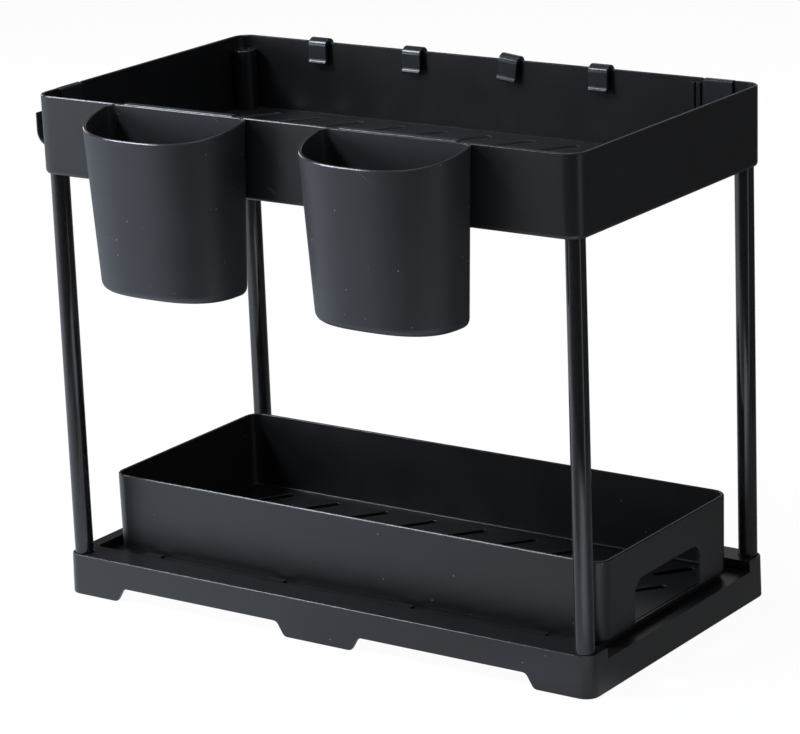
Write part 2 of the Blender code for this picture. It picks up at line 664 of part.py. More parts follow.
def make_arched_hooks(parent):
    """Hooks along the back wall, turned to face backwards. One of them hangs askew, lifted
    so that its lower end still clears the rim."""
    mesh = make_mesh("arched_hook", [arched_hook()])
    lift = HOOK_WIDTH / 2 * math.sin(HOOK_TILT)
    hooks = []
    for number, share in enumerate(HOOK_CENTRE_SHARES, start=1):
        tilted = number == TILTED_HOOK
        place = (share * BASKET_LENGTH, RIM_LINE_Y, RIM_HEIGHT + (lift if tilted else 0))
        turn = (0, -HOOK_TILT if tilted else 0, math.pi)
        hooks.append(add_piece(f"back_hook_{number}", mesh, parent, place, turn))
    return hooks


def make_flat_hooks(parent):
    """The two wide hooks, facing left and backwards."""
    mesh = make_mesh("flat_hook", [flat_hook()])
    rest = RIM_HEIGHT - RIM_NOTCH_DEPTH
    return [add_piece("side_hook", mesh, parent, (*SIDE_HOOK_PLACE, rest),
                      (0, 0, -math.pi / 2)),
            add_piece("corner_hook", mesh, parent, (*CORNER_HOOK_PLACE, rest),
                      (0, 0, math.pi))]


def box_centre():
    """The middle of the whole object's box in plan, seen from the middle of the basket."""
    left = -RIM_LINE_X - FLAT_HOOK_REACH
    right = max(BASKET_LENGTH / 2, BASE_HALF_X + BASE_FLARE)
    front = -RIM_LINE_Y - CUP_BACK - CUP_DEPTH
    back = RIM_LINE_Y + max(HOOK_REACH, FLAT_HOOK_REACH)
    return (left + right) / 2, (front + back) / 2


def build():
    """Clears the scene and models the organizer."""
    for old in list(bpy.data.objects):
        bpy.data.objects.remove(old, do_unlink=True)
    frame = add_piece("organizer_frame", None, None)
    centre_x, centre_y = box_centre()
    frame.location = (-centre_x, -centre_y, 0)
    pieces = {
        "black_plastic": [make_base(frame), make_drawer(frame), make_basket(frame)],
        "black_tube": make_posts(frame),
        "slate_plastic": make_cups(frame),
        "gloss_hook": make_arched_hooks(frame) + make_flat_hooks(frame),
    }
    for finish, group in pieces.items():
        material = finish_material(finish)
        for mesh in {piece.data for piece in group}:
            mesh.materials.append(material)


build()
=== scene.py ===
"""Two-tier pull-out organizer, dressed for a studio picture: a slotted basket on four posts,
a sliding drawer in a notched base tray, two hanging cups and six hanging hooks."""
import math

import bmesh
import bpy
import numpy as np
from mathutils import Matrix, Vector


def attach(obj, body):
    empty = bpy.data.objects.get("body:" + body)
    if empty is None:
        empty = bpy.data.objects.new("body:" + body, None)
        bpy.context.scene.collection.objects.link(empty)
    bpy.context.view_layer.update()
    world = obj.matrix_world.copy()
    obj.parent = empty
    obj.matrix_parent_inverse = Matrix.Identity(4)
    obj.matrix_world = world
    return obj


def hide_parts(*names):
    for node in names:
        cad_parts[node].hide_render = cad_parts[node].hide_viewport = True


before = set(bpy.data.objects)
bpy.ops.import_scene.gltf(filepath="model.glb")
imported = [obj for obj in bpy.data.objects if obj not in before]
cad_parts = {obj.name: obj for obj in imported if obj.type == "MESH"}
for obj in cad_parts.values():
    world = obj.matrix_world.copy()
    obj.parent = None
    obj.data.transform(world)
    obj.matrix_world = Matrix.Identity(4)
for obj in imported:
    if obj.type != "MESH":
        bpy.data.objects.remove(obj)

bl_info = {
    "name": "Pull-out organizer",
    "version": (1, 0, 0),
    "blender": (4, 5, 0),
    "location": "3D View > Sidebar > Organizer",
    "description": "Builds a two-tier pull-out organizer and its studio",
    "category": "Add Mesh",
}

# The middle of the basket, seen from the middle of the whole object's box
BASKET_CENTRE = np.array((0.0096, 0.01405, 0.0))
QUARTER = math.pi / 2
# How finely curves are cut: a corner in plan, a slot and a quarter of it, a small
# rounding, a hook's bend, half a cup's front, the hand hole's sill, and the wall beside
# the hand hole
CORNER_STEPS = 8
SLOT_POINTS = 24
SIDE_POINTS = SLOT_POINTS // 4
ROUND_STEPS = 3
BEND_STEPS = 20
FRONT_STEPS = 28
SILL_POINTS = 17
BESIDE_POINTS = 3


def mm(name, size, meaning):
    """A length that a user may change, given in millimetres and kept in metres."""
    return bpy.props.FloatProperty(name=name, description=meaning, default=size / 1000,
                                   precision=4, unit="LENGTH")


def angle(name, degrees, meaning):
    """An angle that a user may change, given in degrees and kept in radians."""
    return bpy.props.FloatProperty(name=name, description=meaning,
                                   default=math.radians(degrees), subtype="ANGLE")


def tint(name, meaning, *colour):
    """A linear colour that a user may change."""
    return bpy.props.FloatVectorProperty(name=name, description=meaning, default=colour,
                                         size=3, min=0.0, max=1.0, subtype="COLOR")


class BasketSizes(bpy.types.PropertyGroup):
    """Sizes of the top basket."""
    length: mm("Length", 390, "Outside length of the rim")
    depth: mm("Depth", 213, "Outside depth of the rim")
    rim_height: mm("Rim height", 323, "Height of the rim above the table")
    height: mm("Height", 49.8, "Height of the basket itself")
    wall: mm("Wall", 2, "Thickness of the walls")
    floor: mm("Floor", 2.4, "Thickness of the floor")
    draft: mm("Draft", 0.4, "How far the walls lean in at the bottom")
    corner: mm("Corner", 10.5, "Radius of the corners in plan")
    edge: mm("Edge", 3, "Radius of the lower outer edge")
    fillet: mm("Fillet", 0.1, "Radius between floor and walls")
    lip: mm("Lip", 0.7, "Radius of the rim's edges")
    slot_length: mm("Slot length", 30.6, "Length of a floor slot")
    slot_width: mm("Slot width", 5.2, "Width of a floor slot")
    pitch_x: mm("Slot pitch X", 32.6, "Slots' spacing lengthwise")
    pitch_y: mm("Slot pitch Y", 40.6, "Slots' spacing across")
    slot_shift: mm("Slot shift", -2.1, "How far the slots lie off the middle")
    boss_radius: mm("Boss radius", 7.6, "Outer radius of a corner boss")
    boss_drop: mm("Boss drop", 8, "Depth of a boss's top below the rim")
    boss_ring: mm("Boss ring", 2.2, "Width of the ring round a boss's dished top")
    boss_dish: mm("Boss dish", 1.2, "Depth of a boss's dished top")
    rib_width: mm("Rib width", 2.8, "Width of the ribs beside the corner hook")
    rib_rise: mm("Rib rise", 0.9, "How far a rib stands out of the wall")
    rib_first: mm("First rib", 3.7, "First rib's distance from the corner hook's side")
    rib_second: mm("Second rib", 7.8, "Second rib's distance from that side")


class DrawerSizes(bpy.types.PropertyGroup):
    """Sizes of the drawer."""
    left: mm("Left end", -177.45, "X of the left end from the basket's middle")
    right: mm("Right end", 185.95, "X of the right end from the basket's middle")
    half_width: mm("Half width", 75.45, "Half the width at the rim")
    bottom: mm("Bottom", 20, "Height of the runner's underside")
    height: mm("Height", 53.4, "Height with the runner")
    wall: mm("Wall", 2, "Thickness of the walls")
    runner: mm("Runner", 1.8, "Height of the runner under the floor")
    runner_width: mm("Runner width", 2.5, "Width of the runner")
    floor_top: mm("Floor top", 4, "Floor's upper face above the underside")
    draft: mm("Draft", 0.5, "How far the walls lean in at the bottom")
    corner: mm("Corner", 10, "Radius of the corners in plan")
    edge: mm("Edge", 3, "Radius of the lower outer edge")
    fillet: mm("Fillet", 1.5, "Radius between floor and walls")
    lip: mm("Lip", 0.7, "Radius of the rim's edges")
    slot_length: mm("Slot length", 27.2, "Length of a floor slot")
    slot_width: mm("Slot width", 6, "Width of a floor slot")
    pitch_x: mm("Slot pitch X", 38.2, "Slots' spacing lengthwise")
    pitch_y: mm("Slot pitch Y", 35.6, "Slots' spacing across")
    slot_shift: mm("Slot shift", 1.1, "How far the slots lie off the middle")
    flange_out: mm("Flange reach", 83.95, "Half width over the side flanges")
    flange_root: mm("Flange root", 5, "How far a flange reaches in under the wall")
    flange_setback: mm("Flange setback", 8, "Flange's end from the drawer's end")
    flange_corner: mm("Flange corner", 3, "Radius of a flange's corners")
    handle_width: mm("Hand hole width", 76.5, "Width of the hand hole")
    handle_height: mm("Hand hole height", 26, "Height of the hand hole")
    handle_sill: mm("Hand hole sill", 1.3, "Sill's height above the floor")
    handle_corner: mm("Hand hole corner", 9, "Radius of its upper corners")


class SlotSizes(bpy.types.PropertyGroup):
    """The slanted slots in both floors."""
    slant: angle("Slant", 52.5, "Direction of the slots from the long way")
    edge: mm("Edge", 0.6, "Radius of a slot's upper edge")


class PostSizes(bpy.types.PropertyGroup):
    """Sizes of the four posts."""
    diameter: mm("Diameter", 11.8, "Outer diameter of a post")
    wall: mm("Wall", 1, "Thickness of the tube")
    low: mm("Lower end", 6.6, "Height of the lower end")
    high: mm("Upper end", 311.2, "Height of the upper end")
    x: mm("Half spacing X", 186.2, "Post's distance from the middle, lengthwise")
    y: mm("Half spacing Y", 96.7, "Post's distance from the middle, across")


class CupSizes(bpy.types.PropertyGroup):
    """Sizes of the two cups."""
    width: mm("Width", 105, "Width at the rim")
    depth: mm("Depth", 48.8, "Depth at the rim")
    height: mm("Height", 107.6, "Height at the back")
    wall: mm("Wall", 1.8, "Thickness of the wall")
    back_corner: mm("Back corner", 6.4, "Radius of the back corners")
    front_power: bpy.props.FloatProperty(
        name="Front fullness", description="Power of the front's superellipse", default=2.75)
    side_draft: mm("Side draft", 4.3, "How far each side leans in at the bottom")
    front_draft: mm("Front draft", 6.4, "How far the front leans in")
    edge: mm("Edge", 6, "Radius of the lower edge")
    lip: mm("Lip", 0.6, "Radius of the rim's edges")
    rise: mm("Rise", 0.4, "Rim's height at the back over the basket's rim")
    drop: mm("Drop", 9.6, "How far the rim falls towards the front")
    left_x: mm("Left cup X", -82.68, "Middle of the left cup")
    right_x: mm("Right cup X", 75.27, "Middle of the right cup")
    hanger_length: mm("Hanger length", 81, "Length of the hanging strip")
    hanger_thickness: mm("Hanger thickness", 0.7, "Thickness of the strip")
    hanger_lip: mm("Hanger lip", 8, "Strip's reach down inside the basket")


class HookSizes(bpy.types.PropertyGroup):
    """Sizes of the six hooks."""
    width: mm("Width", 13.8, "Width of an arched hook")
    thickness: mm("Thickness", 2, "Thickness of its strip")
    arch: mm("Arch radius", 4, "Radius of the arch over the rim")
    inner_leg: mm("Inner leg", 10.5, "Length of the inner leg")
    flare: mm("Flare radius", 4, "Radius of the inner leg's flare")
    flare_angle: angle("Flare angle", 55.0, "How far the flare turns")
    drop: mm("Drop", 33.2, "Depth of the lower bend's middle")
    bend: mm("Bend radius", 8.5, "Radius of the lower bend")
    tip: mm("Tip", 15.2, "Length of the upturned end")
    tilt: angle("Tilt", 6.5, "How far the third hook hangs askew")
    flat_width: mm("Flat width", 20, "Width of a flat hook")
    flat_thickness: mm("Flat thickness", 1.2, "Thickness of a flat hook")
    flat_leg: mm("Flat inner leg", 19, "Length of a flat hook's inner leg")
    flat_corner: mm("Flat corner", 1, "Radius of its upper corners")
    flat_drop: mm("Flat drop", 27.4, "Depth of its lower bend's middle")
    flat_bend: mm("Flat bend radius", 8.85, "Radius of its lower bend")
    flat_tip: mm("Flat tip", 11.4, "Length of its upturned end")
    side_y: mm("Side hook Y", -73.485, "Middle of the side hook")
    corner_x: mm("Corner hook X", 165.087, "Middle of the corner hook")
    notch_gap: mm("Notch gap", 1.2, "Rim notch's room beside a flat hook")
    notch_depth: mm("Notch depth", 1.5, "Depth of the rim notches")


class FinishColours(bpy.types.PropertyGroup):
    """Colours of the finishes."""
    black: tint("Black plastic", "Basket, drawer and base", 0.015, 0.0155, 0.0175)
    tube: tint("Tube", "Posts", 0.012, 0.012, 0.013)
    slate: tint("Slate plastic", "Cups", 0.030, 0.032, 0.037)
    gloss: tint("Satin strip", "Hooks", 0.038, 0.040, 0.046)
    # Paler colour on the marked outer edges: partly scuffing, partly a painted highlight
    worn_and_highlit: tint("Scuffed and highlighted edges", "Scuffed edges of the plastic, paler as a painted highlight", 0.060, 0.062, 0.068)
    dust: tint("Dust", "Specks and scratches", 0.30, 0.31, 0.33)
    floor: tint("Floor", "Table and backdrop", 0.9, 0.9, 0.9)


# Where the arched hooks hang along the back wall, and which of them hangs askew
HOOK_PLACES = {"back_hook_1": -0.13026, "back_hook_2": -0.05694,
               "back_hook_3": 0.01638, "back_hook_4": 0.0819}
TILTED_HOOK = "back_hook_3"
# The room between the rim and what hangs on it
CLEARANCE = 0.0003
# Points closer than this are one, and edges up to SHORT give way to a bevel beside them
MERGE = 1e-6
SHORT = 0.00015
# How far two faces turn where their edge stays sharp or is bevelled, where they are one
# face, and where their edge is an outer one that hands rub
SHARP = math.radians(50)
FLAT = math.radians(2)
OUTER = math.radians(12)
# The widest face that counts as an edge's rounding
NARROW = 0.00085
NO_POINTS = (np.zeros(0),) * 4


def arc(centre_x, centre_y, radius, start, end, steps):
    """A circle's arc: centre plus radius times cosine and sine of evenly spaced angles."""
    turn = np.linspace(start, end, steps + 1)
    return np.column_stack([centre_x + radius * np.cos(turn), centre_y + radius * np.sin(turn)])


def quarter_round(radius):
    """How far a small quarter-circle rounding has come away from one of its two faces and
    from the other: the radius times one less the cosine and one less the sine."""
    turn = np.linspace(0, QUARTER, ROUND_STEPS + 1)
    return radius * (1 - np.cos(turn)), radius * (1 - np.sin(turn))


def rounded_outline(half_x, half_y, radius, shares):
    """Rectangle with quarter-circle corners, anticlockwise from the front side. The four
    shares say where the straight front, right, back and left sides carry points: a side's
    point is its start plus the share times its length."""
    x = half_x - radius
    y = half_y - radius
    turn = np.linspace(0, QUARTER, CORNER_STEPS + 1)
    near = radius * np.cos(turn)
    far = radius * np.sin(turn)
    front, right, back, left = (2 * part - 1 for part in shares)
    runs = [
        (front * x, front * 0 - half_y), (x + far, -y - near),
        (right * 0 + half_x, right * y), (x + near, y + far),
        (-back * x, back * 0 + half_y), (-x - far, y + near),
        (left * 0 - half_x, -left * y), (-x - near, -y - far),
    ]
    return np.concatenate([np.column_stack(run) for run in runs])


def raise_loop(outline, z):
    """An outline in plan as a loop at height z, one height or one for each point."""
    return np.column_stack([outline, np.broadcast_to(z, len(outline))])


def skin(loops, capped=(False, False), around=True, gaps=()):
    """Points and faces over rows of equally many points: each face joins points k and k + 1
    of one row to those of the next. Gaps are (row, first, last) runs of faces left open."""
    loops = np.asarray(loops, dtype=float)
    rows, count = loops.shape[:2]
    index = np.arange(rows * count).reshape(rows, count)
    low, high = index[:-1], index[1:]
    quads = np.stack([low, np.roll(low, -1, 1), np.roll(high, -1, 1), high], axis=2)
    keep = np.ones(quads.shape[:2], dtype=bool)
    if not around:
        keep[:, -1] = False
    for row, first, last in gaps:
        keep[row, first:last] = False
    faces = quads[keep].tolist()
    if capped[0]:
        faces.append(index[0, ::-1].tolist())
    if capped[1]:
        faces.append(index[-1].tolist())
    return loops.reshape(-1, 3), faces


def turned(profile, x, y, steps, closed=False):
    """A profile of radii and heights turned about an upright axis at x, y: each point goes
    round as radius times cosine and sine of evenly spaced angles."""
    turn = np.arange(steps) * 2 * math.pi / steps
    profile = np.asarray(profile)
    if closed:
        profile = np.concatenate([profile, profile[:1]])
    radius = profile[:, :1]
    loops = np.stack([x + radius * np.cos(turn), y + radius * np.sin(turn),
                      np.broadcast_to(profile[:, 1:], (len(profile), steps))], axis=2)
    return skin(loops, (not closed, not closed))


def swept_strip(path, width, thickness, rounding):
    """A rounded rectangle carried along a path in the (y, z) plane, kept square to it. The
    section lies along x and along the path's normal, and both ends are drawn in by a
    quarter circle, at which the section's own corners keep a sliver."""
    path = np.asarray(path, dtype=float)
    step = np.gradient(path, axis=0)
    tangent = step / np.linalg.norm(step, axis=1)[:, None]
    rise, fall = quarter_round(rounding)
    start = path[0] + tangent[0] * fall[::-1, None]
    end = path[-1] - tangent[-1] * fall[:, None]
    line = np.concatenate([start, path[1:-1], end])
    along = np.concatenate([np.repeat(tangent[:1], len(rise), 0), tangent[1:-1],
                            np.repeat(tangent[-1:], len(rise), 0)])
    inset = np.concatenate([rise[::-1], np.zeros(len(path) - 2), rise])[:, None]
    quarter = arc(0, 0, 1, 0, QUARTER, ROUND_STEPS)
    signs = [(1, 1), (-1, 1), (-1, -1), (1, -1)]
    unit = np.concatenate([quarter[:: a * b] * (a, b) for a, b in signs])
    side = np.repeat(np.array(signs), len(rise), 0)
    sliver = 0.02
    corner = rounding - inset * (1 - sliver)
    across = side[:, 0] * (width / 2 - rounding) + unit[:, 0] * corner
    up = side[:, 1] * (thickness / 2 - rounding) + unit[:, 1] * corner
    normal = np.column_stack([-along[:, 1], along[:, 0]])
    y = line[:, :1] + up * normal[:, :1]
    z = line[:, 1:] + up * normal[:, 1:]
    return skin(np.stack([across, y, z], axis=2), (True, True))


def soft_block(outline_of, low, high, rounding):
    """A closed plate: an outline raised from low to high, with both edges rounded by
    quarter circles. The outline is a function of how far it is drawn in."""
    rise, fall = quarter_round(rounding)
    insets = np.concatenate([fall, rise])
    heights = np.concatenate([low + rise, high - fall])
    return skin([raise_loop(outline_of(inset), z) for inset, z in zip(insets, heights)],
                (True, True))


def slot_loop(length, width, slant, grow):
    """Half-circle ended slot round 0, 0, anticlockwise from its upper end, drawn out by
    grow: the centre runs along the slot while the angle stands still, and the angle turns
    at the ends while the centre stands still."""
    k = np.arange(SLOT_POINTS // 2) / (SLOT_POINTS // 6)
    turn = slant + QUARTER * (np.clip(k, 0, 1) + np.clip(k - 2, 0, 1))
    reach = (length - width) / 2 * (1 - 2 * np.clip(k - 1, 0, 1))
    radius = width / 2 + grow
    half = np.column_stack([reach * math.cos(slant) + radius * np.cos(turn),
                            reach * math.sin(slant) + radius * np.sin(turn)])
    return np.concatenate([half, -half])


def slotted_plate(x_lines, y_lines, centres_x, centres_y, slots, sizes, low, high):
    """A floor of rectangular cells with a slot in each: every row of points blends from the
    cell's outline to the slot's, down its wall, and back out on the other face."""
    left, bottom = (grid.ravel() for grid in np.meshgrid(x_lines[:-1], y_lines[:-1]))
    right, top = (grid.ravel() for grid in np.meshgrid(x_lines[1:], y_lines[1:]))
    middle_x, middle_y = (grid.ravel() for grid in np.meshgrid(centres_x, centres_y))
    part = np.arange(SIDE_POINTS) / SIDE_POINTS
    span_x = (right - left)[:, None]
    span_y = (top - bottom)[:, None]
    cell_x = np.concatenate([right[:, None] - span_x * part, left[:, None] + 0 * part,
                             left[:, None] + span_x * part, right[:, None] + 0 * part], 1)
    cell_y = np.concatenate([top[:, None] + 0 * part, top[:, None] - span_y * part,
                             bottom[:, None] + 0 * part, bottom[:, None] + span_y * part], 1)
    rise, fall = quarter_round(slots.edge)
    grows = np.concatenate([(slots.edge / 2, 0.0), rise])
    heights = np.concatenate([(low, low + slots.edge / 2), high - fall])
    rows = [np.stack([cell_x, cell_y, 0 * cell_x + low], 2)]
    for grow, z in zip(grows, heights):
        ring = slot_loop(sizes.slot_length, sizes.slot_width, slots.slant, grow)
        rows.append(np.stack([middle_x[:, None] + ring[:, 0], middle_y[:, None] + ring[:, 1],
                              0 * cell_x + z], 2))
    rows.append(np.stack([cell_x, cell_y, 0 * cell_x + high], 2))
    tiles = np.stack(rows, 1)
    count = tiles.shape[1] * SLOT_POINTS
    faces = np.array(skin(tiles[0])[1])
    offsets = np.arange(len(tiles))[:, None, None] * count
    return tiles.reshape(-1, 3), (faces + offsets).reshape(-1, 4).tolist()


def cell_shares(cells):
    """Where the points of a side of so many cells lie, without its two ends."""
    return np.arange(1, cells * SIDE_POINTS) / (cells * SIDE_POINTS)


def soft_chamfer(corner, out, down):
    """Insets and heights over a chamfered edge whose own two edges are eased: the chamfer's
    ends are cut back along both lines that meet there."""
    inset, height = corner
    ease = 0.12
    steep = np.array((out, down))
    low, high = np.array((inset, height - down)), np.array((inset + out, height))
    return np.array([low - (0, ease * down), low + ease * steep, high - ease * steep,
                     high + (ease * out, 0)])


def rim_profile(wall, height, lip):
    """Insets and heights over a rim's two chamfered edges, from the outer to the inner."""
    outer = soft_chamfer((0, height), 0.8 * lip, lip)
    inner = soft_chamfer((0, height), 0.6 * lip, 0.6 * lip)[::-1]
    return np.concatenate([outer, inner * (-1, 1) + (wall, 0)])


def wall_profile(sizes, underside, floor):
    """Insets and heights over a tray's wall, as three rows of points: round its lower outer
    edge, over its rim, and round the fillet at its floor."""
    lower = arc(sizes.draft + sizes.edge, underside + sizes.edge, sizes.edge, -QUARTER,
                -math.pi, steps=5)
    fillet = arc(sizes.wall + sizes.draft + sizes.fillet, floor + sizes.fillet,
                 sizes.fillet, math.pi, 3 * QUARTER, steps=4)
    return lower, rim_profile(sizes.wall, sizes.height, sizes.lip), fillet


def new_mesh(name, points, faces):
    """A mesh from rows of points and lists of corners."""
    mesh = bpy.data.meshes.new(name)
    mesh.from_pydata(points.tolist(), [], faces)
    return mesh


def new_object(name, data):
    """An object round its data, in the scene."""
    item = bpy.data.objects.new(name, data)
    bpy.context.scene.collection.objects.link(item)
    return item


def new_material(name, **values):
    """A material, its node tree and its shader, whose sockets are given plain values."""
    material = bpy.data.materials.new(name)
    material.use_nodes = True
    shader = material.node_tree.nodes["Principled BSDF"]
    set_sockets(shader, values)
    return material, material.node_tree, shader


def set_sockets(node, values):
    """Plain values for a node's inputs: an underscore stands for a space in their names."""
    for key, value in values.items():
        node.inputs[key.replace("_", " ")].default_value = value


def build_piece(name, parts, finish, body, nodes):
    """One object from points and faces, finished by finish_mesh."""
    points = np.concatenate([part[0] for part in parts]) + BASKET_CENTRE
    starts = np.cumsum([0] + [len(part[0]) for part in parts])
    faces = [[start + corner for corner in face]
             for start, part in zip(starts, parts) for face in part[1]]
    return finish_mesh(name, new_mesh(name, points, faces), finish, body, nodes)


def read_all(items, attribute, width=1, kind=float):
    """One value or row of values of every item of a mesh as an array."""
    values = np.zeros(len(items) * width, dtype=kind)
    items.foreach_get(attribute, values)
    return values.reshape(-1, width) if width > 1 else values


def mark_wear_and_highlight(mesh):
    """Writes 1 to a face attribute on the narrow faces along outer edges, which is where hands
    rub and where the materials paint a highlight. An edge is an outer one where its two faces
    turn away from each other by more than OUTER, and a face is marked where its area over its
    longest side is under NARROW and all its corners lie on outer edges."""
    normals = read_all(mesh.polygons, "normal", 3)
    centres = read_all(mesh.polygons, "center", 3)
    starts = read_all(mesh.polygons, "loop_start", kind=int)
    counts = read_all(mesh.polygons, "loop_total", kind=int)
    owner = np.repeat(np.arange(len(starts)), counts)
    edge_of = read_all(mesh.loops, "edge_index", kind=int)
    corner_of = read_all(mesh.loops, "vertex_index", kind=int)
    ends = read_all(mesh.edges, "vertices", 2, int)
    order = np.argsort(edge_of, kind="stable")
    edge, face = edge_of[order], owner[order]
    pair = np.flatnonzero(edge[1:] == edge[:-1])
    one, two, shared = face[pair], face[pair + 1], edge[pair]
    turned_by = np.sum(normals[one] * normals[two], axis=1)
    outer = np.sum((centres[two] - centres[one]) * normals[one], axis=1) < 0
    outer &= turned_by < math.cos(OUTER)
    on_edge = np.zeros(len(mesh.vertices), dtype=bool)
    on_edge[ends[shared[outer]].ravel()] = True
    places = read_all(mesh.vertices, "co", 3)
    lengths = np.linalg.norm(places[ends[:, 0]] - places[ends[:, 1]], axis=1)
    longest = np.maximum.reduceat(lengths[edge_of], starts)
    all_on = np.minimum.reduceat(on_edge[corner_of].astype(int), starts)
    narrow = read_all(mesh.polygons, "area") / np.maximum(longest, 1e-9) < NARROW
    worn_and_highlit = mesh.attributes.new("Wear", "FLOAT", "FACE")
    worn_and_highlit.data.foreach_set("value", (all_on * narrow).astype(float))


def finish_mesh(name, mesh, finish, body, nodes, bevel=0.0):
    """The object round a mesh: merges doubles, turns the faces outwards, rounds the sharp
    edges where a bevel is given, marks the edges for scuffing and a painted highlight, weights
    the normals by area, says which body it rides on and hides the nodes it stands for."""
    shape = bmesh.new()
    shape.from_mesh(mesh)
    bmesh.ops.remove_doubles(shape, verts=shape.verts, dist=MERGE)
    bmesh.ops.dissolve_degenerate(shape, edges=shape.edges, dist=MERGE / 10)
    bmesh.ops.recalc_face_normals(shape, faces=shape.faces)
    if bevel:
        bmesh.ops.dissolve_limit(shape, angle_limit=FLAT, verts=shape.verts,
                                 edges=shape.edges)
        bmesh.ops.dissolve_degenerate(shape, edges=shape.edges, dist=SHORT)
        edges = [edge for edge in shape.edges if edge.calc_face_angle(0) > SHARP]
        bmesh.ops.bevel(shape, geom=edges, offset=bevel, segments=3, profile=0.5,
                        affect="EDGES", clamp_overlap=False)
    shape.to_mesh(mesh)
    shape.free()
    mark_wear_and_highlight(mesh)
    mesh.shade_smooth()
    mesh.set_sharp_from_angle(angle=SHARP)
    mesh.materials.clear()
    mesh.materials.append(finishes()[finish])
    piece = new_object(name, mesh)
    weighted = piece.modifiers.new("Weighted normals", "WEIGHTED_NORMAL")
    weighted.keep_sharp = True
    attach(piece, body)
    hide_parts(*nodes)
    return piece


def new_group(name, inputs, outputs):
    """An empty shader node group with its sockets: inputs carry a default."""
    group = bpy.data.node_groups.new(name, "ShaderNodeTree")
    for label, kind, default in inputs:
        socket = group.interface.new_socket(label, in_out="INPUT", socket_type=kind)
        socket.default_value = default
    for label, kind in outputs:
        group.interface.new_socket(label, in_out="OUTPUT", socket_type=kind)
    return group, group.nodes.new("NodeGroupInput"), group.nodes.new("NodeGroupOutput")


def add_node(tree, kind, links=(), **values):
    """A node whose named inputs are values or other nodes' outputs."""
    node = tree.nodes.new(kind)
    for key, value in values.items():
        setattr(node, key, value)
    for key, value in dict(links).items():
        if isinstance(value, bpy.types.NodeSocket):
            tree.links.new(value, node.inputs[key])
        else:
            node.inputs[key].default_value = value
    return node


def math_node(tree, operation, *values, clamp=False):
    """The result of one sum, product or other step on values or sockets."""
    node = add_node(tree, "ShaderNodeMath", enumerate(values), operation=operation,
                    use_clamp=clamp)
    return node.outputs[0]


def object_place(tree):
    """The place on the object that a node tree colours."""
    return tree.nodes.new("ShaderNodeTexCoord").outputs["Object"]


def noise_node(tree, place, scale, detail):
    """The value of a noise at a place."""
    return add_node(tree, "ShaderNodeTexNoise",
                    {"Vector": place, "Scale": scale, "Detail": detail}).outputs[0]


def grain_group():
    """Moulded grain: a fine noise for the height, and a broad one that mottles the sheen."""
    group, start, end = new_group(
        "Moulded grain",
        [("Fine Scale", "NodeSocketFloat", 900.0), ("Broad Scale", "NodeSocketFloat", 35.0)],
        [("Height", "NodeSocketFloat"), ("Mottle", "NodeSocketFloat")])
    place = object_place(group)
    group.links.new(noise_node(group, place, start.outputs["Fine Scale"], detail=2.0),
                    end.inputs["Height"])
    group.links.new(noise_node(group, place, start.outputs["Broad Scale"], detail=3.0),
                    end.inputs["Mottle"])
    return group


def dust_group():
    """Dust: small round specks round the points of a Voronoi pattern, some left out."""
    group, start, end = new_group(
        "Dust specks",
        [("Spacing", "NodeSocketFloat", 110.0), ("Size", "NodeSocketFloat", 0.05),
         ("Cover", "NodeSocketFloat", 0.5)],
        [("Mask", "NodeSocketFloat")])
    cells = add_node(group, "ShaderNodeTexVoronoi",
                     {"Vector": object_place(group), "Scale": start.outputs["Spacing"]})
    near = math_node(group, "LESS_THAN", cells.outputs["Distance"], start.outputs["Size"])
    tone = group.nodes.new("ShaderNodeSeparateColor")
    group.links.new(cells.outputs["Color"], tone.inputs[0])
    chosen = math_node(group, "LESS_THAN", tone.outputs[0], start.outputs["Cover"])
    group.links.new(math_node(group, "MULTIPLY", near, chosen), end.inputs["Mask"])
    return group


def wear_and_highlight_group():
    """Edge scuffing and painted highlight: the edges marked on the mesh, broken up by a noise.
    """
    group, start, end = new_group(
        "Edge wear",
        [("Amount", "NodeSocketFloat", 1.0), ("Breaks", "NodeSocketFloat", 220.0)],
        [("Mask", "NodeSocketFloat")])
    edge = add_node(group, "ShaderNodeAttribute", attribute_name="Wear")
    noise = noise_node(group, object_place(group), start.outputs["Breaks"], detail=3.0)
    broken = add_node(group, "ShaderNodeMapRange",
                      {"Value": noise, "From Min": 0.3, "From Max": 0.55,
                       "To Min": 0.55, "To Max": 1.0})
    mask = math_node(group, "MULTIPLY", edge.outputs["Fac"], broken.outputs[0])
    group.links.new(math_node(group, "MULTIPLY", mask, start.outputs["Amount"]),
                    end.inputs["Mask"])
    return group


def scratch_group():
    """Scratches: a noise drawn out along a slanted line leaves thin strokes where it is
    highest."""
    group, start, end = new_group(
        "Scratches",
        [("Slant", "NodeSocketFloat", -0.62), ("Cover", "NodeSocketFloat", 0.3)],
        [("Mask", "NodeSocketFloat")])
    stretch, fewest, spread, steepness = (38.0, 60.0, 1100.0), 0.9, 0.1, 30.0
    turned_place = add_node(group, "ShaderNodeVectorRotate",
                            {"Vector": object_place(group), "Angle": start.outputs["Slant"]},
                            rotation_type="Y_AXIS")
    drawn = add_node(group, "ShaderNodeVectorMath", {0: turned_place.outputs[0], 1: stretch},
                     operation="MULTIPLY")
    lower_by = math_node(group, "MULTIPLY", start.outputs["Cover"], spread)
    limit = math_node(group, "SUBTRACT", fewest, lower_by)
    noise = noise_node(group, drawn.outputs[0], 1.0, detail=0.0)
    high = math_node(group, "SUBTRACT", noise, limit)
    group.links.new(math_node(group, "MULTIPLY", high, steepness, clamp=True),
                    end.inputs["Mask"])
    return group


def placed_group(tree, group, **values):
    """A node group in a material, with its own values."""
    node = tree.nodes.new("ShaderNodeGroup")
    node.node_tree = group
    set_sockets(node, values)
    return node


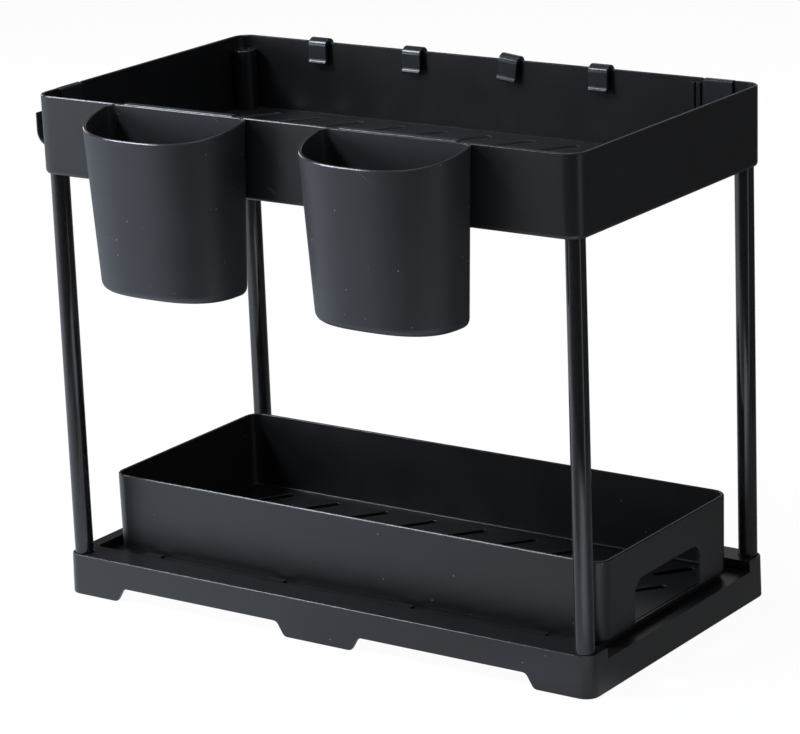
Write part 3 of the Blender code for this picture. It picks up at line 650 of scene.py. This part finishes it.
def tinted(tree, mask, under, over):
    """A colour, a value or a socket, with another laid over it where the mask is 1."""
    mix = add_node(tree, "ShaderNodeMix", {0: mask}, data_type="RGBA")
    for socket, colour in ((6, under), (7, over)):
        if isinstance(colour, bpy.types.NodeSocket):
            tree.links.new(colour, mix.inputs[socket])
        else:
            mix.inputs[socket].default_value = (*colour, 1)
    return mix.outputs[2]


def plastic_material(name, colour, finish, groups, colours):
    """A moulded plastic: the grain mottles colour and roughness and lifts the surface a
    little, the marked outer edges are smoother and paler, partly from scuffing and partly as a
    painted highlight, and specks and scratches lie on it."""
    roughness, fine, depth, wear, dust, scratches = finish
    _, tree, shader = new_material(name)
    pale, deep, sheen_spread, rub_and_highlight, scratching = 1.18, 0.85, 0.03, 0.6, 0.35
    grain = placed_group(tree, groups["grain"], Fine_Scale=fine)
    rubbed_and_highlit = placed_group(tree, groups["wear"], Amount=wear).outputs["Mask"]
    specks = placed_group(tree, groups["dust"], Cover=dust).outputs["Mask"]
    strokes = placed_group(tree, groups["scratches"], Cover=scratches).outputs["Mask"]
    shade = tinted(tree, grain.outputs["Mottle"], [c * deep for c in colour],
                   [c * pale for c in colour])
    # Paler colour on the marked outer edges: partly scuffing, partly a painted highlight
    shade = tinted(tree, math_node(tree, "MULTIPLY", rubbed_and_highlit, rub_and_highlight), shade, colours.worn_and_highlit)
    litter = math_node(tree, "MAXIMUM", specks,
                       math_node(tree, "MULTIPLY", strokes, scratching))
    shade = tinted(tree, litter, shade, colours.dust)
    tree.links.new(shade, shader.inputs["Base Color"])
    rough = add_node(tree, "ShaderNodeMapRange",
                     {"Value": grain.outputs["Mottle"], "From Min": 0.3, "From Max": 0.7,
                      "To Min": roughness - sheen_spread,
                      "To Max": roughness + sheen_spread})
    smooth = math_node(tree, "SUBTRACT", 1.0, math_node(tree, "MULTIPLY", rubbed_and_highlit, rub_and_highlight))
    tree.links.new(math_node(tree, "MULTIPLY", rough.outputs[0], smooth),
                   shader.inputs["Roughness"])
    bump = add_node(tree, "ShaderNodeBump",
                    {"Height": grain.outputs["Height"], "Strength": 1.0, "Distance": depth})
    tree.links.new(bump.outputs[0], shader.inputs["Normal"])


# Each finish: roughness, scale and depth of the fine grain, edge scuffing with its painted
# highlight, dust and scratches
FINISHES = {
    "Black plastic": ("black", 0.36, 1400, 0.00003, 0.8, 0.03, 0.0),
    "Dusty black plastic": ("black", 0.36, 1400, 0.00003, 0.55, 0.4, 0.25),
    "Rubbed black plastic": ("black", 0.36, 1400, 0.00003, 1.5, 0.4, 0.25),
    "Tube gloss": ("tube", 0.1, 300, 0.00001, 0.4, 0.0, 0.0),
    "Slate plastic": ("slate", 0.5, 1800, 0.00003, 1.3, 1.0, 0.2),
    "Hook satin": ("gloss", 0.28, 500, 0.00002, 0.6, 0.0, 0.0),
}


def finishes():
    """The finishes, made once and then found by name."""
    colours = bpy.context.scene.organizer_colours
    if "Black plastic" not in bpy.data.materials:
        groups = {"grain": grain_group(), "dust": dust_group(), "wear": wear_and_highlight_group(),
                  "scratches": scratch_group()}
        for name, (colour, *finish) in FINISHES.items():
            plastic_material(name, getattr(colours, colour), finish, groups, colours)
    return bpy.data.materials


def snapped(stations, places):
    """Stations with the nearest ones moved onto the given places, in order."""
    stations = stations.copy()
    free = np.ones(len(stations), dtype=bool)
    for place in places:
        near = np.where(free, np.abs(stations - place), np.inf)
        pick = int(np.argmin(near))
        stations[pick] = place
        free[pick] = False
    return np.sort(stations)


class ORGANIZER_OT_basket(bpy.types.Operator):
    """Build the slotted top basket with its four corner bosses."""
    bl_idname = "organizer.basket"
    bl_label = "Build basket"

    def execute(self, context):
        scene = context.scene
        sizes, slots = scene.organizer_basket, scene.organizer_slots
        hooks, posts = scene.organizer_hooks, scene.organizer_posts
        half_x, half_y = sizes.length / 2, sizes.depth / 2
        columns, rows = 11, 5
        field_x = columns * sizes.pitch_x / 2
        field_y = rows * sizes.pitch_y / 2
        straight_x, straight_y = half_x - sizes.corner, half_y - sizes.corner
        along_x, along_y = cell_shares(columns), cell_shares(rows)
        room = hooks.flat_width / 2 + hooks.notch_gap
        step = 0.0002
        reach = np.array((-room - step, -room, room, room + step))
        back = snapped(along_x, (1 - (hooks.corner_x + reach) / straight_x) / 2)
        left = snapped(along_y, (1 - (hooks.side_y + reach) / straight_y) / 2)
        shares = (along_x, along_y, back, left)

        field = rounded_outline(field_x, field_y, 0, (along_x, along_y) * 2)
        loops = [raise_loop(field + (sizes.slot_shift, 0), 0)]
        for inset, z in np.concatenate(wall_profile(sizes, 0, sizes.floor)):
            outline = rounded_outline(half_x - inset, half_y - inset, sizes.corner - inset,
                                      shares)
            x, y = outline.T
            beside_back = (y > straight_y) & (np.abs(x - hooks.corner_x) < room + step / 2)
            beside_left = (x < -straight_x) & (np.abs(y - hooks.side_y) < room + step / 2)
            notched = (beside_back | beside_left) & (z > sizes.height / 2)
            loops.append(raise_loop(outline, z - hooks.notch_depth * notched))
        loops.append(loops[0] + (0, 0, sizes.floor))
        bottom = sizes.rim_height - sizes.height
        parts = [skin(np.array(loops) + (0, 0, bottom))]
        x_lines = np.linspace(-field_x, field_x, columns + 1) + sizes.slot_shift
        y_lines = np.linspace(-field_y, field_y, rows + 1)
        parts.append(slotted_plate(x_lines, y_lines, (x_lines[1:] + x_lines[:-1]) / 2,
                                   (y_lines[1:] + y_lines[:-1]) / 2, slots, sizes, bottom,
                                   bottom + sizes.floor))
        root = bottom + sizes.floor / 2
        top = sizes.rim_height - sizes.boss_drop
        radius, dish = sizes.boss_radius, sizes.boss_radius - sizes.boss_ring
        round_off, slope = 0.0008, 0.0004
        profile = np.concatenate([
            [(radius, root)],
            arc(radius - round_off, top - round_off, round_off, 0, QUARTER, steps=4),
            [(dish, top), (dish - slope, top - sizes.boss_dish)],
        ])
        for x in (-posts.x, posts.x):
            for y in (-posts.y, posts.y):
                parts.append(turned(profile, x, y, steps=48))
        corner, soft = 0.0006, 0.0004

        def rib(inset):
            """A rib's outline in plan."""
            return rounded_outline(sizes.rib_width / 2 - inset, sizes.rib_rise - inset,
                                   corner - inset / 2, NO_POINTS)

        points, faces = soft_block(rib, root, sizes.rim_height - sizes.rib_width, soft)
        hook_side = hooks.corner_x - hooks.flat_width / 2
        wall_face = half_y - sizes.wall - sizes.draft / 2
        for aside in (sizes.rib_first, sizes.rib_second):
            parts.append((points + (hook_side - aside, wall_face, 0), faces))
        build_piece("basket_shell", parts, "Black plastic", "stand",
                    ["top_basket"])
        return {"FINISHED"}


def hand_hole_loop(sizes, grow):
    """The hand hole's outline in (y, z), anticlockwise seen from outside: an even run of
    points along the sill, then up one side, round two quarter circles and down."""
    half = sizes.handle_width / 2 + grow
    sill = sizes.floor_top + sizes.handle_sill - grow
    top = sizes.floor_top + sizes.handle_sill + sizes.handle_height + grow
    radius = sizes.handle_corner + grow
    bottom = np.column_stack([np.linspace(-half, half, SILL_POINTS),
                              np.full(SILL_POINTS, sill)])
    right = arc(half - radius, top - radius, radius, 0, QUARTER, steps=5)
    left = arc(radius - half, top - radius, radius, QUARTER, math.pi, steps=5)
    middle = np.array(((0.5, 0), (0, 0), (-0.5, 0))) * (half - radius) + (0, top)
    low = (sill + top - radius) / 2
    return np.concatenate([bottom, [(half, low)], right, middle, left, [(-half, low)]])


class ORGANIZER_OT_drawer(bpy.types.Operator):
    """Build the drawer with its slotted floor, runner, side flanges and hand hole."""
    bl_idname = "organizer.drawer"
    bl_label = "Build drawer"

    def execute(self, context):
        sizes = context.scene.organizer_drawer
        slots = context.scene.organizer_slots
        half_x = (sizes.right - sizes.left) / 2
        half_y = sizes.half_width
        centre = ((sizes.right + sizes.left) / 2, 0, sizes.bottom)
        columns, rows = 9, 4
        straight_y = half_y - sizes.corner
        field_x = columns * sizes.pitch_x / 2
        margin, gap, sunk, soft, edge = 0.003, 0.0002, 0.0004, 0.0005, 0.0006
        field_y = half_y - sizes.wall - sizes.draft - sizes.fillet - gap
        along_x, along_y = cell_shares(columns), cell_shares(rows)
        window = sizes.handle_width / 2 + margin
        beside = np.linspace(-straight_y, -window, BESIDE_POINTS + 2)[1:-1]
        stations = np.concatenate([beside, np.linspace(-window, window, SILL_POINTS),
                                   -beside[::-1]])
        right = (stations / straight_y + 1) / 2
        shares = (along_x, right, along_x, along_y)

        def wall_loops(profile):
            """The drawer's outline drawn in by each inset and raised to its height."""
            return [raise_loop(rounded_outline(half_x - inset, half_y - inset,
                                               sizes.corner - inset, shares), z)
                    for inset, z in profile]

        lower, rim, fillet = wall_profile(sizes, sizes.runner, sizes.floor_top)
        field = rounded_outline(field_x, field_y, 0, (along_x, along_y) * 2)
        loops = [raise_loop(field, sizes.runner)]
        loops += wall_loops(np.concatenate([lower, rim, fillet]))
        loops.append(loops[0] + (0, 0, sizes.floor_top - sizes.runner))
        first = len(along_x) + CORNER_STEPS + 1 + BESIDE_POINTS
        last = first + SILL_POINTS - 1
        gaps = [(len(lower), first, last), (len(lower) + len(rim), first, last)]
        parts = [skin(loops, gaps=gaps)]

        def on_wall(outline, low, high, depth=0):
            """Points of the end wall: x leans from the low profile point to the high one."""
            y, z = outline.T
            inset = np.interp(z, (low[1], high[1]), (low[0], high[0]))
            return np.column_stack([half_x - inset + depth, y, z])

        def window_loop(low, high):
            """The rectangle of wall points that the hand hole is set in."""
            y = np.linspace(-window, window, SILL_POINTS)
            z = np.repeat((low[1], high[1]), SILL_POINTS)
            return on_wall(np.column_stack([np.concatenate([y, y[::-1]]), z]), low, high)

        outer, inner = (lower[-1], rim[0]), (fillet[0], rim[-1])
        rise, fall = quarter_round(edge)
        rings = [window_loop(*outer)]
        rings += [on_wall(hand_hole_loop(sizes, grow), *outer, -depth)
                  for grow, depth in zip(fall, rise)]
        rings += [on_wall(hand_hole_loop(sizes, grow), *inner, depth)
                  for grow, depth in zip(rise, fall)]
        parts.append(skin(rings + [window_loop(*inner)]))

        x_lines = np.linspace(-field_x, field_x, columns + 1)
        y_lines = np.concatenate([[-field_y], (np.arange(rows - 1) - 1) * sizes.pitch_y,
                                  [field_y]])
        centres_x = (x_lines[1:] + x_lines[:-1]) / 2 + sizes.slot_shift
        centres_y = (np.arange(rows) - (rows - 1) / 2) * sizes.pitch_y
        parts.append(slotted_plate(x_lines, y_lines, centres_x, centres_y, slots, sizes,
                                   sizes.runner, sizes.floor_top))

        outside = sizes.draft + sizes.edge
        inside = outside + sizes.runner_width
        top = sizes.runner + sunk
        parts.append(skin(wall_loops([(outside, 0), (outside, top), (inside, top),
                                      (inside, 0), (outside, 0)])))

        flange_in = half_y - sizes.flange_root
        middle = (flange_in + sizes.flange_out) / 2

        def flange(inset):
            """A flange's outline in plan."""
            return rounded_outline(half_x - sizes.flange_setback - inset,
                                   (sizes.flange_out - flange_in) / 2 - inset,
                                   sizes.flange_corner - inset, NO_POINTS)

        points, faces = soft_block(flange, sizes.runner, sizes.floor_top, soft)
        parts += [(points + (0, side * middle, 0), faces) for side in (-1, 1)]
        parts = [(points + centre, faces) for points, faces in parts]
        build_piece("drawer_shell", parts, "Dusty black plastic", "drawer",
                    ["drawer"])
        return {"FINISHED"}


class ORGANIZER_OT_base(bpy.types.Operator):
    """Dress the base tray: its edges are rounded on a merged copy of its solid."""
    bl_idname = "organizer.base"
    bl_label = "Build base tray"

    def execute(self, context):
        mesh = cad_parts["base_tray"].data.copy()
        rounding = 0.0003
        # The strongest paler edge colour: partly scuffing, partly a painted highlight on the
        # front edge
        finish_mesh("base_shell", mesh, "Rubbed black plastic", "stand",
                    ["base_tray"], bevel=rounding)
        return {"FINISHED"}


class ORGANIZER_OT_posts(bpy.types.Operator):
    """Build the four glossy tube posts."""
    bl_idname = "organizer.posts"
    bl_label = "Build posts"

    def execute(self, context):
        sizes = context.scene.organizer_posts
        radius = sizes.diameter / 2
        bore = radius - sizes.wall
        edge = 0.0004
        profile = np.concatenate([
            [(bore, sizes.low)],
            arc(radius - edge, sizes.low + edge, edge, -QUARTER, 0, ROUND_STEPS),
            arc(radius - edge, sizes.high - edge, edge, 0, QUARTER, ROUND_STEPS),
            [(bore, sizes.high)],
        ])
        corners = {"front_left": (-1, -1), "front_right": (1, -1),
                   "back_left": (-1, 1), "back_right": (1, 1)}
        for name, (side_x, side_y) in corners.items():
            tube = turned(profile, side_x * sizes.x, side_y * sizes.y, steps=64, closed=True)
            build_piece(name + "_tube", [tube], "Tube gloss", "stand",
                        [name + "_post"])
        return {"FINISHED"}


def cup_plan(width, depth, back_corner, power):
    """A cup in plan: a flat back with round corners, and a front that follows a
    superellipse, x as a cosine and y as a sine raised to two over the power."""
    half = width / 2
    corner = arc(half - back_corner, -back_corner, back_corner, QUARTER, 0, CORNER_STEPS)
    turn = np.linspace(0, QUARTER, FRONT_STEPS + 1)[1:]
    x = half * np.clip(np.cos(turn), 0, 1) ** (2 / power)
    x[-1] = 0
    y = -back_corner - (depth - back_corner) * np.sin(turn) ** (2 / power)
    right = np.concatenate([corner, np.column_stack([x, y])])
    left = right[:-1] * (-1, 1)
    return np.concatenate([left, right[::-1]])


class ORGANIZER_OT_cups(bpy.types.Operator):
    """Build the two cups and the strips that they hang by."""
    bl_idname = "organizer.cups"
    bl_label = "Build cups"

    def execute(self, context):
        sizes = context.scene.organizer_cups
        basket = context.scene.organizer_basket
        back = basket.wall / 2 + CLEARANCE
        rim_y = -(basket.depth - basket.wall) / 2
        bottom_width = sizes.width - 2 * sizes.side_draft
        bottom_depth = sizes.depth - sizes.front_draft
        floor = sizes.rise - sizes.height

        def ring(width, depth, inset, z, drop=0.0):
            """The plan drawn in, at a height that falls by the drop over the depth."""
            corner = max(sizes.back_corner - inset, sizes.wall)
            x, y = cup_plan(width - 2 * inset, depth - 2 * inset, corner,
                            sizes.front_power).T
            return np.column_stack([x, y - inset - back, z + drop * (y - inset) / depth])

        loops = []
        for inset, z in arc(sizes.edge, sizes.edge, sizes.edge, -QUARTER, -math.pi, steps=6):
            loops.append(ring(bottom_width, bottom_depth, inset, floor + z))
        for inset, z in rim_profile(sizes.wall, sizes.rise, sizes.lip):
            loops.append(ring(sizes.width, sizes.depth, inset, z, sizes.drop))
        inner = sizes.edge - sizes.wall
        for inset, z in arc(inner, inner, inner, -math.pi, -QUARTER, steps=5):
            loops.append(ring(bottom_width, bottom_depth, inset + sizes.wall,
                              floor + sizes.wall + z))
        shell = skin(loops, (True, True))

        thickness = sizes.hanger_thickness
        root = back + sizes.wall / 2
        inside = back + thickness / 2
        top = CLEARANCE + thickness / 2
        bend, foot, soft = 0.0009, 0.003, 0.0004
        path = np.concatenate([
            [(-root, -foot)],
            arc(bend - root, top - bend, bend, math.pi, QUARTER, steps=4),
            arc(inside - bend, top - bend, bend, QUARTER, 0, steps=4),
            [(inside, -sizes.hanger_lip / 2), (inside, -sizes.hanger_lip)],
        ])
        hanger = swept_strip(path, sizes.hanger_length, thickness, soft)
        for name, x in (("left_cup", sizes.left_x), ("right_cup", sizes.right_x)):
            place = (x, rim_y, basket.rim_height)
            parts = [(points + place, faces) for points, faces in (shell, hanger)]
            build_piece(name + "_shell", parts, "Slate plastic", name,
                        [name])
        return {"FINISHED"}


class ORGANIZER_OT_hooks(bpy.types.Operator):
    """Build the four arched hooks and the two flat ones."""
    bl_idname = "organizer.hooks"
    bl_label = "Build hooks"

    def execute(self, context):
        sizes = context.scene.organizer_hooks
        basket = context.scene.organizer_basket
        rim_x = (basket.length - basket.wall) / 2
        rim_y = (basket.depth - basket.wall) / 2
        inner_radius = sizes.arch - sizes.thickness / 2 - CLEARANCE
        arch_z = -math.sqrt(inner_radius ** 2 - (basket.wall / 2) ** 2)
        leg = sizes.arch
        path = np.concatenate([
            arc(leg + sizes.flare, -sizes.inner_leg, sizes.flare, math.pi + sizes.flare_angle,
                math.pi, steps=8),
            arc(0, arch_z, sizes.arch, 0, math.pi, BEND_STEPS),
            arc(-leg - sizes.bend, -sizes.drop, sizes.bend, 0, -math.pi, BEND_STEPS),
            [(-leg - 2 * sizes.bend, sizes.tip - sizes.drop)],
        ])
        points, faces = swept_strip(path, sizes.width, sizes.thickness, sizes.thickness / 4)
        lift = sizes.width / 2 * math.sin(sizes.tilt)
        for name, x in HOOK_PLACES.items():
            tilt = -sizes.tilt if name == TILTED_HOOK else 0.0
            turn = Matrix.Rotation(math.pi, 3, "Z") @ Matrix.Rotation(tilt, 3, "Y")
            rise = lift if name == TILTED_HOOK else 0.0
            placed = points @ np.array(turn).T + (x, rim_y, basket.rim_height + rise)
            build_piece(name + "_strip", [(placed, faces)], "Hook satin", name,
                        [name])

        leg = basket.wall / 2 + CLEARANCE + sizes.flat_thickness / 2
        top = CLEARANCE + sizes.flat_thickness / 2
        corner = sizes.flat_corner
        bend = sizes.flat_bend
        path = np.concatenate([
            [(leg, -sizes.flat_leg), (leg, -sizes.flat_leg / 2)],
            arc(leg - corner, top - corner, corner, 0, QUARTER, steps=6),
            arc(corner - leg, top - corner, corner, QUARTER, math.pi, steps=6),
            arc(-leg - bend, -sizes.flat_drop, bend, 0, -math.pi, BEND_STEPS),
            [(-leg - 2 * bend, sizes.flat_tip - sizes.flat_drop)],
        ])
        points, faces = swept_strip(path, sizes.flat_width, sizes.flat_thickness,
                                    sizes.flat_thickness / 4)
        rest = basket.rim_height - sizes.notch_depth
        for name, place, angle_z in (("side_hook", (-rim_x, sizes.side_y, rest), -QUARTER),
                                     ("corner_hook", (sizes.corner_x, rim_y, rest), math.pi)):
            turn = np.array(Matrix.Rotation(angle_z, 3, "Z"))
            build_piece(name + "_strip", [(points @ turn.T + place, faces)], "Hook satin",
                        name, [name])
        return {"FINISHED"}


def light_paths(tree):
    """One where a ray comes from the camera, a gloss or a see-through surface."""
    path = tree.nodes.new("ShaderNodeLightPath")
    seen = math_node(tree, "MAXIMUM", path.outputs["Is Camera Ray"],
                     path.outputs["Is Glossy Ray"])
    return math_node(tree, "MAXIMUM", seen, path.outputs["Is Transmission Ray"])


# The lamps stand at one distance from a point above the middle of the table and look at
# it: each one's direction and height in degrees, its width, height, power and colour
LAMP_DISTANCE = 1.8
LAMP_TARGET = 0.12
LAMPS = {
    "Left window": (-140, 12, 1.1, 0.7, 10.0, (0.82, 0.88, 1.0)),
    "Left high": (-141, 43, 0.58, 0.36, 14.5, (0.84, 0.91, 1.0)),
    "Left back": (166, 19, 0.8, 0.8, 5.5, (1.0, 0.95, 0.92)),
    "Right": (-8, 14, 0.7, 1.0, 2.2, (0.9, 0.95, 1.0)),
    "Back fill": (100, 30, 1.2, 0.9, 1.8, (1.0, 1.0, 1.0)),
    "Top": (-120, 84, 1.0, 1.0, 4.6, (0.85, 0.95, 1.0)),
}
# Painted reflection of the table on a glowing sheet, low levels painted shade: for some
# directions in degrees, its level close to the tray, at half a metre and farther out
REFLECTED_TABLE = {
    -152: (1.2, 1.35, 1.35), -140: (1.2, 1.3, 1.2), -130: (1.15, 1.1, 0.8),
    -120: (1.1, 0.9, 0.35), -105: (1.0, 0.6, 0.15), -90: (0.9, 0.35, 0.08),
    -75: (0.85, 0.3, 0.05), -60: (0.8, 0.7, 0.05), -50: (0.8, 1.5, 0.05),
    -38: (0.95, 2.0, 0.05), -25: (0.7, 1.2, 0.1), -16: (0.35, 0.6, 0.2),
    -13: (0.25, 0.5, 1.2), -7: (0.2, 0.3, 1.2), -4: (0.2, 0.3, 0.1), 30: (0.2, 0.2, 0.1),
    60: (0.15, 0.1, 0.05), 90: (0.25, 0.2, 0.2), 120: (0.4, 0.35, 0.3),
    150: (0.65, 0.6, 0.5), 180: (0.9, 0.9, 0.9), 200: (1.2, 1.25, 1.25),
}
# The rings of the painted table reflection, two for each level, then the dark painted walls
# round the last of them and the bright painted middle of the ceiling over it
REFLECTED_RINGS = (0.02, 0.28, 0.36, 0.56, 0.64, 2.2)
REFLECTED_WALL_LEVEL = 0.08
REFLECTED_CEILING_LEVEL = 3.5
REFLECTED_CEILING_RADIUS = 0.5
# How a level of one is coloured
COOL_LIGHT = (0.9, 0.985, 1.12)
# The floor: half its width, its depth under the feet, its own glow, and how much of it
# that glow takes over where it is seen; and the light that the world sheds unseen
FLOOR_HALF = 4
FLOOR_DROP = 0.0001
FLOOR_GLOW = 1.07
FLOOR_SEEN = 0.9
WORLD_LIGHT = 0.02
# The camera: its lens in millimetres, its place, and where its right side, its top and
# its back point
CAMERA_LENS = 158.166
CAMERA_PLACE = (1.203377, -1.698618, 0.753799)
CAMERA_AXES = ((0.82500297, 0.56392352, -0.03688312), (-0.12816108, 0.2502617, 0.95965818),
               (0.55040425, -0.78699387, 0.27873969))


class ORGANIZER_OT_stage(bpy.types.Operator):
    """Set the pale floor, the soft studio light and the camera."""
    bl_idname = "organizer.stage"
    bl_label = "Set stage"

    def execute(self, context):
        scene = context.scene
        colours = scene.organizer_colours
        grid = np.linspace(-FLOOR_HALF, FLOOR_HALF, 2 * FLOOR_HALF + 1)
        x, y = np.meshgrid(grid, grid)
        loops = np.stack([x, y, 0 * x - FLOOR_DROP], axis=2)
        points, faces = skin(loops, around=False)
        floor = new_object("floor", new_mesh("floor", points, faces))
        material, tree, shader = new_material(
            "Pale floor", Base_Color=(*colours.floor, 1), Roughness=1.0,
            Specular_IOR_Level=0.0)
        glow = add_node(tree, "ShaderNodeEmission", {"Strength": FLOOR_GLOW})
        mix = tree.nodes.new("ShaderNodeMixShader")
        seen = math_node(tree, "MULTIPLY", light_paths(tree), FLOOR_SEEN)
        tree.links.new(seen, mix.inputs[0])
        tree.links.new(shader.outputs[0], mix.inputs[1])
        tree.links.new(glow.outputs[0], mix.inputs[2])
        tree.links.new(mix.outputs[0], tree.nodes["Material Output"].inputs["Surface"])
        floor.data.materials.append(material)

        world = scene.world or bpy.data.worlds.new("Studio")
        scene.world = world
        world.use_nodes = True
        tree = world.node_tree
        backdrop = tree.nodes["Background"]
        backdrop.inputs["Color"].default_value = (1, 1, 1, 1)
        strength = add_node(tree, "ShaderNodeMapRange",
                            {"Value": light_paths(tree), "To Min": WORLD_LIGHT,
                             "To Max": 1.0})
        tree.links.new(strength.outputs[0], backdrop.inputs["Strength"])

        for name, values in LAMPS.items():
            self.add_lamp(name, *values)
        # Painted reflections on a glowing sheet that only gloss sees
        self.add_painted_reflections()

        data = bpy.data.cameras.new("Camera")
        data.sensor_fit = "HORIZONTAL"
        data.sensor_width = 36
        data.lens = CAMERA_LENS
        data.clip_end = 20
        camera = new_object("Camera", data)
        camera.matrix_world = Matrix(CAMERA_AXES).transposed().to_4x4()
        camera.location = CAMERA_PLACE
        scene.camera = camera
        scene.view_settings.view_transform = "Standard"
        return {"FINISHED"}

    def add_painted_reflections(self):
        """Painted reflections of a table, walls and ceiling on a glowing sheet that only gloss
        sees and that is no lamp, dark where it stands in for shade: rings of points round the
        organizer, each with a level between those of the nearest two directions."""
        lift, apart = 0.0005, 2.0
        turn = np.arange(0.0, 360.0, apart)
        stations = np.array(sorted(REFLECTED_TABLE))
        levels = [np.interp(turn, stations, ring, period=360)
                  for ring in np.array([REFLECTED_TABLE[station] for station in stations]).T]
        rings = REFLECTED_RINGS
        wall = np.full(len(turn), REFLECTED_WALL_LEVEL)
        top = np.full(len(turn), REFLECTED_CEILING_LEVEL)
        height = rings[-1]
        rows = [(radius, 0, levels[ring // 2]) for ring, radius in enumerate(rings)]
        rows += [(height, 0, wall), (height, height, wall),
                (REFLECTED_CEILING_RADIUS, height, wall), (REFLECTED_CEILING_RADIUS, height, top),
                (rings[0], height, top)]
        angle = np.radians(turn)
        loops = [np.column_stack([radius * np.cos(angle), radius * np.sin(angle),
                                  np.full(len(turn), z + lift)]) for radius, z, _ in rows]
        points, faces = skin(loops)
        mesh = new_mesh("surround", points, faces)
        level = np.concatenate([row[2] for row in rows])[:, None]
        cool = 1 + (np.array(COOL_LIGHT) - 1) * np.clip(level, 0, 1)
        colour = np.column_stack([level * cool, np.ones(len(level))])
        paint = mesh.color_attributes.new("Level", "FLOAT_COLOR", "POINT")
        paint.data.foreach_set("color", colour.ravel())
        material, tree, shader = new_material(
            "Surround", Base_Color=(0, 0, 0, 1), Specular_IOR_Level=0.0,
            Emission_Strength=1.0)
        glow = add_node(tree, "ShaderNodeVertexColor", layer_name="Level")
        tree.links.new(glow.outputs["Color"], shader.inputs["Emission Color"])
        mesh.materials.append(material)
        surround = new_object("surround", mesh)
        for ray in ("camera", "diffuse", "shadow", "transmission"):
            setattr(surround, "visible_" + ray, False)

    def add_lamp(self, name, azimuth, height, width, length, power, colour):
        """A soft lamp that looks at the middle of the organizer."""
        data = bpy.data.lights.new(name, "AREA")
        data.shape = "RECTANGLE"
        data.size = width
        data.size_y = length
        data.energy = power
        data.color = colour
        lamp = new_object(name, data)
        flat, rise = math.radians(azimuth), math.radians(height)
        aim = Vector((math.cos(flat) * math.cos(rise), math.sin(flat) * math.cos(rise),
                      math.sin(rise)))
        lamp.rotation_euler = aim.to_track_quat("Z", "Y").to_euler()
        lamp.location = aim * LAMP_DISTANCE + Vector((0, 0, LAMP_TARGET))


GROUPS = {
    "organizer_basket": BasketSizes,
    "organizer_drawer": DrawerSizes,
    "organizer_slots": SlotSizes,
    "organizer_posts": PostSizes,
    "organizer_cups": CupSizes,
    "organizer_hooks": HookSizes,
    "organizer_colours": FinishColours,
}
OPERATORS = (ORGANIZER_OT_basket, ORGANIZER_OT_drawer, ORGANIZER_OT_base,
             ORGANIZER_OT_posts, ORGANIZER_OT_cups, ORGANIZER_OT_hooks, ORGANIZER_OT_stage)


class ORGANIZER_PT_panel(bpy.types.Panel):
    """Lists the organizer's pieces and their sizes."""
    bl_label = "Organizer"
    bl_idname = "ORGANIZER_PT_panel"
    bl_space_type = "VIEW_3D"
    bl_region_type = "UI"
    bl_category = "Organizer"

    def draw(self, context):
        for operator in OPERATORS:
            self.layout.operator(operator.bl_idname)
        for key, group in GROUPS.items():
            column = self.layout.column()
            column.label(text=group.__doc__)
            sizes = getattr(context.scene, key)
            for name in group.__annotations__:
                column.prop(sizes, name)


def register():
    for item in (*GROUPS.values(), *OPERATORS, ORGANIZER_PT_panel):
        bpy.utils.register_class(item)
    for key, group in GROUPS.items():
        setattr(bpy.types.Scene, key, bpy.props.PointerProperty(type=group))


def unregister():
    for key in GROUPS:
        delattr(bpy.types.Scene, key)
    for item in (ORGANIZER_PT_panel, *OPERATORS, *GROUPS.values()):
        bpy.utils.unregister_class(item)


def main():
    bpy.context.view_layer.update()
    register()
    bpy.ops.organizer.basket()
    bpy.ops.organizer.drawer()
    bpy.ops.organizer.base()
    bpy.ops.organizer.posts()
    bpy.ops.organizer.cups()
    bpy.ops.organizer.hooks()
    bpy.ops.organizer.stage()


if __name__ == "__main__":
    main()
